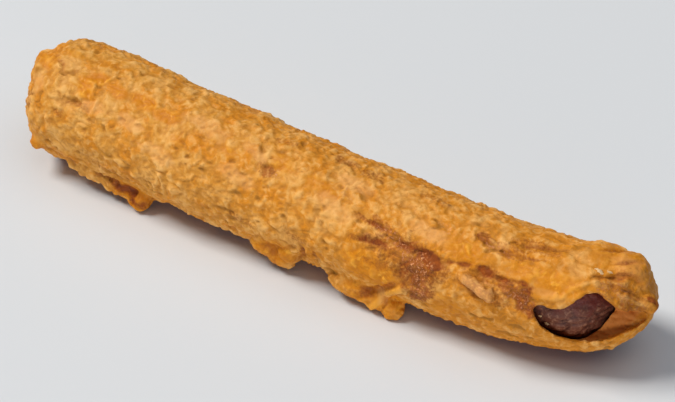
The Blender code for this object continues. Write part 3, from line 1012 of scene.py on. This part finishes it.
def crust_relief(point, stains, inside):
    """The height of all fine relief at a point, and how much of it is pit."""
    mood = noise.noise(point / MOOD_SIZE)
    dome_height = DOME_HEIGHT * (MOODLESS_SHARE + DOME_MOOD * mood)
    billow_height = BILLOW_HEIGHT * (MOODLESS_SHARE - BILLOW_MOOD * mood)
    relief = dome_height * domes(point, DOME_SIZE, DOME_SHIFT)
    relief += billow_height * billows(point, BILLOW_SIZE, BILLOW_SHIFT)
    relief += SMALL_BILLOW_HEIGHT * billows(point, SMALL_BILLOW_SIZE, SMALL_BILLOW_SHIFT)
    relief += GRAIN_HEIGHT * noise.noise(bent(point, GRAIN_SIZE, GRAIN_SHIFT))
    streaked = smooth_step(STREAK_START_X, STREAK_FULL_X, point.x)
    smooth = max(OILY_SMOOTHING * stains["oily"], PALE_SMOOTHING * stains["pale"] ** PALE_POWER)
    relief *= (1 - smooth) * (1 - INSIDE_SMOOTHING * inside) * (1 - STREAK_SMOOTHING * streaked)
    sunk = pit(point) * (1 - stains["oily"])
    streak = noise.noise(stretched(point, STREAK_STRETCH) / STREAK_SIZE)
    crumb = abs(noise.noise(bent(point, CRUMB_SIZE, CRUMB_SHIFT))) - CRUMB_MIDDLE
    relief += STREAK_HEIGHT * streaked * streak - PIT_DEPTH * sunk
    relief += CRUMB_HEIGHT * stains["crumbly"] * crumb
    return relief, sunk


print("a streak is", round(1 / STREAK_STRETCH.x), "times as long as it is wide")

# %% [markdown]
# ## The browned and shaded underside, and the warmer parts
# Where the log lies on a surface it stays in its own oil and browns, so a low place turns brown,
# with an uneven edge. The same brown is also painted shade, which keeps the underside dark so
# that it throws little warm light into its shadow on the floor. Drips stand out from the log and
# stay golden below. The open end and the back of the log fried longer, and are a warmer gold
# than the closed end.

# %% Brown, shade and warm the crust
# the underside is painted brown, partly as browning and partly as painted shade
UNDERSIDE_START = 5.0 * MM
UNDERSIDE_FULL = 3.0 * MM
UNDERSIDE_FRAY = 1.5 * MM
DRIP_START = 0.5 * MM
DRIP_FULL = 2.0 * MM
WARM_START_X = -70 * MM
WARM_FULL_X = 80 * MM
BACK_START_ANGLE = 78
BACK_FULL_ANGLE = 120
BACK_START_X = -60 * MM
BACK_FULL_X = 0
BACK_WARMTH = 0.9


def shaded_underside(point, distance, fray):
    """Browning and painted shade: 1 on the underside of the log, 0 above it and on the drips."""
    radius = crust_radius(point.x)
    lift = point.z - centre_line(point.x)[1] + radius + UNDERSIDE_FRAY * fray
    below = 1 - smooth_step(UNDERSIDE_FULL, UNDERSIDE_START, lift)
    return below * (1 - smooth_step(DRIP_START, DRIP_FULL, distance - radius))


def warmth(x, angle):
    """How warm the gold is here: it grows towards the open end and the back."""
    back = smooth_step(BACK_START_ANGLE, BACK_FULL_ANGLE, angle)
    back *= smooth_step(BACK_START_X, BACK_FULL_X, x)
    return max(smooth_step(WARM_START_X, WARM_FULL_X, x), BACK_WARMTH * back)


print("warmth at both ends:", [round(warmth(x * MM, 40), 2) for x in (-90, 90)])

# %% [markdown]
# ## Moving the points
# Now each point of the crust moves along its normal, and what was worked out on the way is kept
# on the mesh, one value a point, for the material to read. A texture painted by hand would need
# an unwrapped mesh and could slip against the relief. Values on the points can't.

# %% Raise the relief
CAVITY_CLEARANCE = 1.2 * MM
ROOM_MARGIN = 0.1 * MM
ROOM_CRUMB = 0.3
FOLD_WAVER = 0.9


def read_points(mesh, name):
    """The places or the normals of a mesh's points, one row a point."""
    values = np.empty(len(mesh.vertices) * 3, np.float32)
    mesh.vertices.foreach_get(name, values)
    return values.reshape(-1, 3)


def store(mesh, name, values):
    """Keeps one value for each point, for the material to read."""
    attribute = mesh.attributes.new(name, "FLOAT", "POINT")
    attribute.data.foreach_set("value", np.asarray(values, np.float32))


start = read_points(crust.data, "co")
normals = read_points(crust.data, "normal")
moved = start.copy()
layers = {
    name: np.zeros(len(start))
    for name in ("height", "oily", "brown", "crumbly", "pale", "pit", "inside", "warm")
}
for index, (place, normal) in enumerate(zip(start, normals)):
    point = Vector(place)
    x, angle, distance = place_on_log(point)
    inside = smooth_step(INSIDE_DEPTH, 2 * INSIDE_DEPTH, depth_below_crust(x, distance))
    clearance = saveloy_clearance(x, distance)
    layers["inside"][index] = inside
    if clearance < SAVELOY_GAP + SAVELOY_END_GAP + ROOM_MARGIN and inside > 0.5:
        layers["crumbly"][index] = ROOM_CRUMB
        continue
    fray = noise.noise(point / FRAY_SIZE)
    stains = {
        kind: patch_strength(x, angle, patches, FRAY_DEPTH[kind] * fray)
        for kind, patches in PATCHES.items()
    }
    relief, stains["pit"] = crust_relief(point, stains, inside)
    fold_height, fold_browning_and_shade = folds_at(x, angle, FOLD_WAVER * fray)
    height = (relief + fold_height) * smooth_step(0, CAVITY_CLEARANCE, clearance)
    stains["height"] = height / MM
    # the brown layer holds real browning, and the painted shade of the folds and of the underside
    stains["brown"] = max(stains["brown"], fold_browning_and_shade, shaded_underside(point, distance, fray))
    stains["warm"] = warmth(x, angle)
    for name, value in stains.items():
        layers[name][index] = value
    moved[index] = place + normal * height
clipped = np.clip(moved, np.array(box_low), np.array(box_high))
print("points held inside the box:", int((np.abs(clipped - moved).max(axis=1) > 0.1 * MM).sum()))
crust.data.vertices.foreach_set("co", clipped.ravel())
for name, values in layers.items():
    store(crust.data, name, values)
crust.data.shade_smooth()
crust.data.update()
print("relief from", round(layers["height"].min(), 2), "to", round(layers["height"].max(), 2), "mm")

# %% [markdown]
# ## The sausage
# The skin of a saveloy wrinkles as it cools. Only the end near the tear shows, but the piece runs
# the whole way through, as the real one does. Its wrinkles are ridged noise, stretched along the
# log, and they only sink into the skin, so that it never pushes through the crust. Towards the
# top, under the lip of the crust, the skin is painted a darker red, as painted shade.

# %% Make the sausage
SKIN_AROUND = 150
SKIN_ALONG = 360
WRINKLE_DEPTH = 0.55 * MM
WRINKLE_STRETCH = Vector((0.45, 1.0, 1.0))
WRINKLE_SIZE = 2.6 * MM
CREASE_DEPTH = 0.2 * MM
CREASE_SIZE = 1.0 * MM
WRINKLE_SHIFT, CREASE_SHIFT = 21, 5
WRINKLE_SHARPNESS, CREASE_SHARPNESS = 3, 4
DEEPEST = WRINKLE_DEPTH + CREASE_DEPTH
# from these angles up, the top of the skin takes a dark red painted shade
TOP_SHADE_START = 12
TOP_SHADE_FULL = 42
TOP_SHADE_FRAY = 25


def wrinkle(point):
    """How far the skin sinks here, from 0 to 1 for broad folds and for small creases."""
    drawn = stretched(point, WRINKLE_STRETCH)
    fold = 1 - abs(noise.noise(bent(drawn, WRINKLE_SIZE, WRINKLE_SHIFT)))
    crease = 1 - abs(noise.noise(bent(drawn, CREASE_SIZE, CREASE_SHIFT)))
    return fold**WRINKLE_SHARPNESS, crease**CREASE_SHARPNESS


saveloy_shape = bmesh.new()
ball(saveloy_shape, SKIN_AROUND, SKIN_ALONG, saveloy_point)
saveloy = finished(saveloy_shape, "saveloy_skin")
skin_start = read_points(saveloy.data, "co")
skin_normals = read_points(saveloy.data, "normal")
skin_folds = np.zeros(len(skin_start))
skin_top_shades = np.zeros(len(skin_start))
skin_moved = skin_start.copy()
for index, (place, normal) in enumerate(zip(skin_start, skin_normals)):
    point = Vector(place)
    fold, crease = wrinkle(point)
    sunk = WRINKLE_DEPTH * fold + CREASE_DEPTH * crease
    skin_folds[index] = sunk / DEEPEST
    # the top of the skin, under the lip of the crust, gets dark red painted shade
    _, angle, _ = place_on_log(point)
    angle += TOP_SHADE_FRAY * noise.noise(point / FRAY_SIZE)
    skin_top_shades[index] = smooth_step(TOP_SHADE_START, TOP_SHADE_FULL, angle)
    skin_moved[index] = place - normal * sunk
saveloy.data.vertices.foreach_set("co", skin_moved.ravel())
store(saveloy.data, "fold", skin_folds)
store(saveloy.data, "red", skin_top_shades)
saveloy.data.shade_smooth()
saveloy.data.update()
print("the skin sinks by", round(skin_folds.max() * DEEPEST / MM, 2), "mm at most")

# %% [markdown]
# ## Flakes
# Three pale flakes of dry batter cling to the rim of the opening, and two specks of it to the
# sausage. They are separate crumbs, under 3 mm long, so each is a piece of its own: a tiny ball
# pressed flat, made ragged by noise, and laid where a ray from outside meets its host.

# %% Scatter the flakes
FLAKES = [
    # on which piece, x, angle, half length, half width, half thickness and turn
    (crust, 90.4, 75.5, 0.60, 0.30, 0.20, 35),
    (crust, 92.0, 73.5, 1.30, 0.50, 0.28, -12),
    (crust, 94.2, 77.0, 0.95, 0.32, 0.20, 20),
    (saveloy, 78.5, 8, 0.55, 0.40, 0.20, 20),
    (saveloy, 80.6, -3, 0.65, 0.45, 0.22, -10),
]
FLAKE_RAGGEDNESS = 0.7
FLAKE_RAGGED_SCALE = 1.7
RAY_START = 40 * MM
flakes = []
for number, (host, x, angle, length, width, thickness, turn) in enumerate(FLAKES, 1):
    away = around_point(x * MM, angle, RAY_START)
    inward = (around_point(x * MM, angle, 0) - away).normalized()
    met, place, normal, _ = host.ray_cast(away, inward)
    assert met, f"flake {number} has nothing to lie on"
    flake_shape = bmesh.new()
    bmesh.ops.create_icosphere(flake_shape, subdivisions=3, radius=1)
    for vertex in flake_shape.verts:
        ragged = noise.noise(vertex.co * FLAKE_RAGGED_SCALE + Vector((number, 0, 0)))
        vertex.co *= 1 + FLAKE_RAGGEDNESS * ragged
    along = Vector((1, 0, 0))
    across = normal.cross(along).normalized()
    lying = Matrix((across.cross(normal), across, normal)).transposed().to_4x4()
    sizes = Matrix.Diagonal((length * MM, width * MM, thickness * MM, 1))
    spin = Matrix.Rotation(math.radians(turn), 4, "Z")
    flake_shape.transform(Matrix.Translation(place) @ lying @ spin @ sizes)
    flake = finished(flake_shape, f"flake_{number}")
    flake.data.shade_smooth()
    flakes.append(flake)
print("flakes:", len(flakes))

# %% [markdown]
# ## Small tools for nodes
# A material in Blender is a web of nodes. Wiring each one by hand takes a dozen lines, so a few
# helpers add a node, feed it, stretch a value to a new range and join two values. The
# materials below then read like recipes.

# %% Make the node helpers
def add_node(tree, kind, place, **settings):
    """A node of this kind, with its settings, at a place in the editor."""
    made = tree.nodes.new(kind)
    made.location = place
    for name, value in settings.items():
        setattr(made, name, value)
    return made


def feed(tree, target, *sources):
    """Links or sets the inputs of a node, in order. None leaves an input as it is."""
    for socket, source in zip(target.inputs, sources):
        if isinstance(source, bpy.types.NodeSocket):
            tree.links.new(source, socket)
        elif source is not None:
            socket.default_value = source
    return target


def map_range(tree, place, value, low, high, new_low=0.0, new_high=1.0):
    """A value moved from one range to another, and held inside it."""
    made = add_node(tree, "ShaderNodeMapRange", place)
    feed(tree, made, value, low, high, new_low, new_high)
    return made.outputs[0]


def join_values(tree, place, operation, first, second):
    """Two values multiplied, added or the like, and held between 0 and 1."""
    made = add_node(tree, "ShaderNodeMath", place, operation=operation, use_clamp=True)
    feed(tree, made, first, second)
    return made.outputs[0]


print("node helpers:", add_node.__name__, feed.__name__, map_range.__name__)

# %% [markdown]
# ## Laying one colour over another
# A painter starts from a ground and lays one coat over the next, each where a mask lets it
# through. One helper lays a single coat, and the other lays a whole list of them.

# %% Make the paint helpers
def blend_colours(tree, place, mask, below, above):
    """The colour below where the mask is 0, and the colour above where it is 1."""
    made = add_node(tree, "ShaderNodeMix", place, data_type="RGBA")
    for name, value in (("Factor", mask), ("A", below), ("B", above)):
        socket = next(s for s in made.inputs if s.name == name and s.enabled)
        if isinstance(value, bpy.types.NodeSocket):
            tree.links.new(value, socket)
        else:
            socket.default_value = (*value, 1) if isinstance(value, tuple) else value
    return next(s for s in made.outputs if s.enabled)


def paint_coats(tree, ground, coats):
    """Lays each (mask, colour) over the ones before, as a painter lays coats over a ground."""
    colour = ground
    for step, (mask, paint) in enumerate(coats):
        colour = blend_colours(tree, (200 * step - 900, 300), mask, colour, paint)
    return colour


print("paint helpers:", blend_colours.__name__, paint_coats.__name__)

# %% [markdown]
# ## Uneven tone, for all three materials
# Crust, skin and flakes are all mottled, at different sizes. The effect is a node group with
# named inputs, built once: it takes three sizes of noise and gives a broad, a fine and a
# grainy mask. It isn't a picture, so it has no edges and follows the object from any side.

# %% Build the uneven tone group
TONE_SIZES = {"Broad": 9.0, "Fine": 2.4, "Grain": 0.8}
TONE_DETAILS = [
    # detail, roughness and distortion of the noise
    (3.0, 0.5, 0.4),
    (4.0, 0.6, 0.7),
    (2.0, 0.55, 0.2),
]
TONE_LOW, TONE_HIGH = 0.3, 0.7


def build_uneven_tone():
    """A node group: sizes in millimetres go in, three masks from 0 to 1 come out."""
    group = bpy.data.node_groups.new("uneven_tone", "ShaderNodeTree")
    face = group.interface
    face.new_socket("Place", in_out="INPUT", socket_type="NodeSocketVector")
    for name, size in TONE_SIZES.items():
        socket = face.new_socket(f"{name} Size", in_out="INPUT", socket_type="NodeSocketFloat")
        socket.default_value = size
    for name in TONE_SIZES:
        face.new_socket(name, in_out="OUTPUT", socket_type="NodeSocketFloat")
    start_node = add_node(group, "NodeGroupInput", (-700, 0))
    end_node = add_node(group, "NodeGroupOutput", (300, 0))
    for index, (detail, roughness, distortion) in enumerate(TONE_DETAILS):
        lift = 260 * (1 - index)
        scale = add_node(group, "ShaderNodeMath", (-480, lift), operation="DIVIDE")
        feed(group, scale, 1 / MM, start_node.outputs[1 + index])
        cloud = add_node(group, "ShaderNodeTexNoise", (-280, lift))
        group.links.new(start_node.outputs["Place"], cloud.inputs["Vector"])
        group.links.new(scale.outputs[0], cloud.inputs["Scale"])
        cloud.inputs["Detail"].default_value = detail
        cloud.inputs["Roughness"].default_value = roughness
        cloud.inputs["Distortion"].default_value = distortion
        spread = map_range(group, (-60, lift), cloud.outputs["Fac"], TONE_LOW, TONE_HIGH)
        group.links.new(spread, end_node.inputs[index])
    return group


uneven_tone = build_uneven_tone()
sockets = [socket.name for socket in uneven_tone.interface.items_tree]
print("group:", uneven_tone.name, "with sockets", ", ".join(sockets))

# %% [markdown]
# ## What the materials share
# Each material starts with masks: three from the uneven tone, and one for each value that was
# kept on the points. More masks are cut from these by stretching a part of their range, as a
# table says. The finest tone is also a bump, for grains that are too small to be real shape.

# %% Start a material
BUMP_DEPTH = 0.12 * MM


def start_material(name, tone_sizes, kept_values=()):
    """A new material, its shader and its first masks."""
    material = bpy.data.materials.new(name)
    material.use_nodes = True
    tree = material.node_tree
    place = add_node(tree, "ShaderNodeTexCoord", (-1700, 300)).outputs["Object"]
    tone = add_node(tree, "ShaderNodeGroup", (-1450, 300), node_tree=uneven_tone)
    feed(tree, tone, place, *tone_sizes)
    mask = dict(zip(("broad", "fine", "grain"), tone.outputs))
    for row, kept in enumerate(kept_values):
        reader = add_node(tree, "ShaderNodeAttribute", (-1700, -200 * row), attribute_name=kept)
        mask[kept] = reader.outputs["Fac"]
    return material, tree.nodes["Principled BSDF"], mask


def cut_masks(tree, mask, ranges):
    """Adds a mask for each row of a table: its name, what it is cut from and its range."""
    for row, (name, (source, *ends)) in enumerate(ranges.items()):
        mask[name] = map_range(tree, (-1250, 1300 - 200 * row), mask[source], *ends)


def add_bump(tree, shader, grain, strength):
    """Lets a mask roughen the surface."""
    bump = add_node(tree, "ShaderNodeBump", (1100, -400))
    bump.inputs["Strength"].default_value = strength
    bump.inputs["Distance"].default_value = BUMP_DEPTH
    tree.links.new(grain, bump.inputs["Height"])
    tree.links.new(bump.outputs[0], shader.inputs["Normal"])


print("the bump is", round(BUMP_DEPTH / MM, 2), "mm deep")

# %% [markdown]
# ## Fried batter
# The crust is nearly matt. Its colour goes from pale gold on the domes to a deeper orange
# brown in the creases, so the height kept above steers it together with the uneven tone: the
# pale domes are a painted highlight, and the darker creases and pits are painted shade. The
# patches are laid over that, the way a painter glazes: orange where a blister is smooth and
# oily, with painted glints and highlights on its domes and painted shade in its creases, peach
# where it is pale, a moist orange in the tear, caramel brown where the batter is thin and, as
# painted shade, in crevices and underneath, and pinkish grains where it crumbled. A coat of
# clear oil would be simpler, but the photograph shows hardly a highlight, only deeper colour.

# %% Mix the colours of the batter
GOLD = (0.640, 0.275, 0.036)
# pale gold is the colour of pale batter, and on the domes a painted highlight
PALE_GOLD = (0.82, 0.445, 0.130)
# deep gold is the colour of freckles, and in the creases painted shade
DEEP_GOLD = (0.40, 0.145, 0.014)
ORANGE_GOLD = (0.64, 0.225, 0.010)
# the yellow gold lays painted glints and painted highlights on the oily places
PAINTED_YELLOW_HIGHLIGHT = (0.88, 0.39, 0.035)
# the ochre of the pits is painted shade
OCHRE_PIT_SHADE = (0.35, 0.145, 0.014)
OILY_ORANGE = (0.60, 0.200, 0.002)
# the oily crease colour is painted shade in the creases of the oily places
OILY_CREASE_SHADE = (0.36, 0.090, 0.002)
# the caramel browns are browning, and also painted shade in crevices and underneath
CARAMEL = (0.120, 0.022, 0.003)
LIGHT_CARAMEL = (0.37, 0.084, 0.007)
PINK_CRUMB = (0.72, 0.32, 0.13)
# peach is pale batter, and on the rim of the opening painted light
PEACH = (0.80, 0.40, 0.135)
INSIDE_ORANGE = (0.60, 0.200, 0.034)
print("the ground of the batter is", GOLD)

# %% [markdown]
# ## Where each colour of the batter goes
# A mask that is cut backwards, from a high value to a low one, shows where its source is low.
# The brown is made ragged by the grain before it is cut, so that its edge crumbles.

# %% Choose the masks of the batter
BATTER_TONE = (8.0, 2.6, 0.8)
BATTER_MASKS = {
    # what it is cut from, where it starts, where it is full, and its strength at both
    # this mask is a painted highlight: it lightens the domes
    "crest_highlight": ("height", 0.05, 0.55, 0, 0.65),
    # the crease mask is painted shade: it darkens the creases
    "crease": ("height", 0.02, -0.45, 0, 0.6),
    "blotch": ("broad", 0.50, 0.78, 0, 0.95),
    "bloom": ("broad", 0.40, 0.12, 0, 0.42),
    "speckle": ("fine", 0.52, 0.95, 0, 0.65),
    # the glint mask is a painted highlight on the oily places
    "glint": ("fine", 0.40, 0.05, 0, 0.8),
    "freckle": ("fine", 0.46, 0.10, 0, 0.55),
    "crumbs": ("grain", 0.56, 0.95, 0, 1),
    "ragged": ("grain", 0, 1, -0.22, 0.22),
}
BROWN_START, BROWN_FULL = 0.12, 0.78
# the pit coat is painted shade in the pits
COAT_STRENGTHS = {"warm": 0.9, "pit": 0.7, "oily": 0.95, "pale": 0.65}
print("masks cut for the batter:", len(BATTER_MASKS))

# %% [markdown]
# ## Putting the batter together
# The coats are listed in the order in which they are laid, so the last ones cover the first:
# the gold of the crust with its painted highlights and painted shade, then oil, then what is
# pale, torn, brown or crumbly. Some of the pale is painted light, and some of the brown painted
# shade.

# %% Make the batter material
BATTER_ROUGHNESS = (0.52, 0.72)
OILY_SHINE = 0.1
BATTER_GLOSS = 0.18
BATTER_BUMP = 0.55


def build_batter():
    """The crust's material, steered by the values kept on its points."""
    material, shader, mask = start_material("fried_batter", BATTER_TONE, layers)
    tree = material.node_tree
    cut_masks(tree, mask, BATTER_MASKS)
    weak = {}
    for row, (name, strength) in enumerate(COAT_STRENGTHS.items()):
        weak[name] = join_values(tree, (-1100, 900 - 200 * row), "MULTIPLY", mask[name], strength)
    # painted light on the oily places: glints and domes lightened, creases darkened
    painted_light_on_oil = {}
    for row, name in enumerate(("glint", "crest_highlight", "crease")):
        painted_light_on_oil[name] = join_values(
            tree, (-1100, -500 - 150 * row), "MULTIPLY", mask[name], mask["oily"]
        )
    # the brown mask holds real browning, and the painted shade of the folds and the underside
    brown_and_shade_mask = join_values(tree, (-1100, -200), "ADD", mask["brown"], mask["ragged"])
    brown_and_shade_mask = map_range(tree, (-950, -200), brown_and_shade_mask, BROWN_START, BROWN_FULL)
    caramel_and_shade = blend_colours(tree, (-950, -400), mask["fine"], CARAMEL, LIGHT_CARAMEL)
    crumbly = join_values(tree, (-1100, -1000), "MULTIPLY", mask["crumbly"], mask["crumbs"])
    coats = [
        (weak["warm"], ORANGE_GOLD),
        # painted highlight on the domes
        (mask["crest_highlight"], PALE_GOLD),
        (mask["bloom"], PALE_GOLD),
        (mask["blotch"], ORANGE_GOLD),
        (mask["speckle"], PALE_GOLD),
        (mask["freckle"], DEEP_GOLD),
        # painted shade in the creases and in the pits
        (mask["crease"], DEEP_GOLD),
        (weak["pit"], OCHRE_PIT_SHADE),
        (weak["oily"], OILY_ORANGE),
        # painted glints, painted highlights on the domes and painted shade in the creases of the
        # oily places
        (painted_light_on_oil["glint"], PAINTED_YELLOW_HIGHLIGHT),
        (painted_light_on_oil["crest_highlight"], PAINTED_YELLOW_HIGHLIGHT),
        (painted_light_on_oil["crease"], OILY_CREASE_SHADE),
        # pale batter, and on the rim of the opening painted light
        (weak["pale"], PEACH),
        (mask["inside"], INSIDE_ORANGE),
        # caramel brown: real browning, with painted shade from the folds and the underside
        (brown_and_shade_mask, caramel_and_shade),
        (crumbly, PINK_CRUMB),
    ]
    tree.links.new(paint_coats(tree, GOLD, coats), shader.inputs["Base Color"])
    dull = map_range(tree, (900, 0), mask["grain"], 0, 1, *BATTER_ROUGHNESS)
    shiny = map_range(tree, (900, -160), mask["oily"], 0, 1, 0, OILY_SHINE)
    rough = join_values(tree, (1100, -80), "SUBTRACT", dull, shiny)
    tree.links.new(rough, shader.inputs["Roughness"])
    shader.inputs["Specular IOR Level"].default_value = BATTER_GLOSS
    add_bump(tree, shader, mask["grain"], BATTER_BUMP)
    return material


batter_material = build_batter()
crust.data.materials.clear()
crust.data.materials.append(batter_material)
print("the batter material has", len(batter_material.node_tree.nodes), "nodes")

# %% [markdown]
# ## Saveloy skin
# A saveloy is dyed a dark reddish brown, and cooking turns it almost purple. Its folds are
# painted darker than the skin between them, as painted shade, and its top a darker red, as the
# painted shade of the crust's lip. It is moist, so it shines a little more than the crust.

# %% Make the skin material
SKIN_BROWN = (0.180, 0.056, 0.030)
SKIN_PALE = (0.33, 0.150, 0.085)
# the dark of the skin is random tone, and in the folds painted shade
SKIN_DARK = (0.050, 0.012, 0.009)
# a dark red painted shade, for the top of the skin under the lip of the crust
SKIN_TOP_SHADE_RED = (0.135, 0.020, 0.014)
SKIN_TONE = (5.0, 1.3, 0.45)
SKIN_MASKS = {
    # what it is cut from, where it starts, where it is full, and its strength at both
    "speckle": ("fine", 0.5, 0.9, 0, 0.9),
    # this mask is painted shade in the folds
    "fold_shade": ("fold", 0.45, 0.90, 0, 0.9),
    # this mask is painted shade at the top of the skin
    "top_shade": ("red", 0, 1, 0, 0.75),
}
SKIN_SHADE = 0.4
SKIN_ROUGHNESS = (0.35, 0.57)
SKIN_GLOSS = 0.25
SKIN_BUMP = 0.6


def build_skin():
    """The sausage's material, with painted shade in its wrinkles and dark red painted shade towards
    the top.
    """
    material, shader, mask = start_material("saveloy_skin", SKIN_TONE, ("fold", "red"))
    tree = material.node_tree
    cut_masks(tree, mask, SKIN_MASKS)
    coats = [
        (join_values(tree, (-1100, 500), "MULTIPLY", mask["broad"], SKIN_SHADE), SKIN_DARK),
        (mask["speckle"], SKIN_PALE),
        # painted shade in the folds
        (mask["fold_shade"], SKIN_DARK),
        # dark red painted shade at the top, under the lip of the crust
        (mask["top_shade"], SKIN_TOP_SHADE_RED),
    ]
    tree.links.new(paint_coats(tree, SKIN_BROWN, coats), shader.inputs["Base Color"])
    rough = map_range(tree, (900, 0), mask["grain"], 0, 1, *SKIN_ROUGHNESS)
    tree.links.new(rough, shader.inputs["Roughness"])
    shader.inputs["Specular IOR Level"].default_value = SKIN_GLOSS
    add_bump(tree, shader, mask["grain"], SKIN_BUMP)
    return material


skin_material = build_skin()
saveloy.data.materials.clear()
saveloy.data.materials.append(skin_material)
print("the skin material has", len(skin_material.node_tree.nodes), "nodes")

# %% [markdown]
# ## Dry flakes
# The flakes are batter that dried instead of browning, so they are paler and duller than the
# crust. The same uneven tone, at a smaller size, keeps them from looking like chips of paint.

# %% Make the flake material
FLAKE_PALE = (0.80, 0.58, 0.34)
FLAKE_GOLD = (0.66, 0.36, 0.12)
FLAKE_TONE = (2.0, 0.6, 0.25)
FLAKE_ROUGHNESS = (0.6, 0.85)
FLAKE_GLOSS = 0.2


def build_flake():
    """The flakes' material: pale, dull and faintly mottled."""
    material, shader, mask = start_material("batter_flake", FLAKE_TONE)
    tree = material.node_tree
    colour = paint_coats(tree, FLAKE_PALE, [(mask["fine"], FLAKE_GOLD)])
    tree.links.new(colour, shader.inputs["Base Color"])
    rough = map_range(tree, (900, 0), mask["grain"], 0, 1, *FLAKE_ROUGHNESS)
    tree.links.new(rough, shader.inputs["Roughness"])
    shader.inputs["Specular IOR Level"].default_value = FLAKE_GLOSS
    return material


flake_material = build_flake()
for flake in flakes:
    flake.data.materials.append(flake_material)
print("the flake material has", len(flake_material.node_tree.nodes), "nodes")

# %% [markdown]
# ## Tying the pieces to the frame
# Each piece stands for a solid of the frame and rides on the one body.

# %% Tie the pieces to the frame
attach(crust, "root")
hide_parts("batter")
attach(saveloy, "root")
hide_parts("saveloy")
for flake in flakes:
    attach(flake, "root")
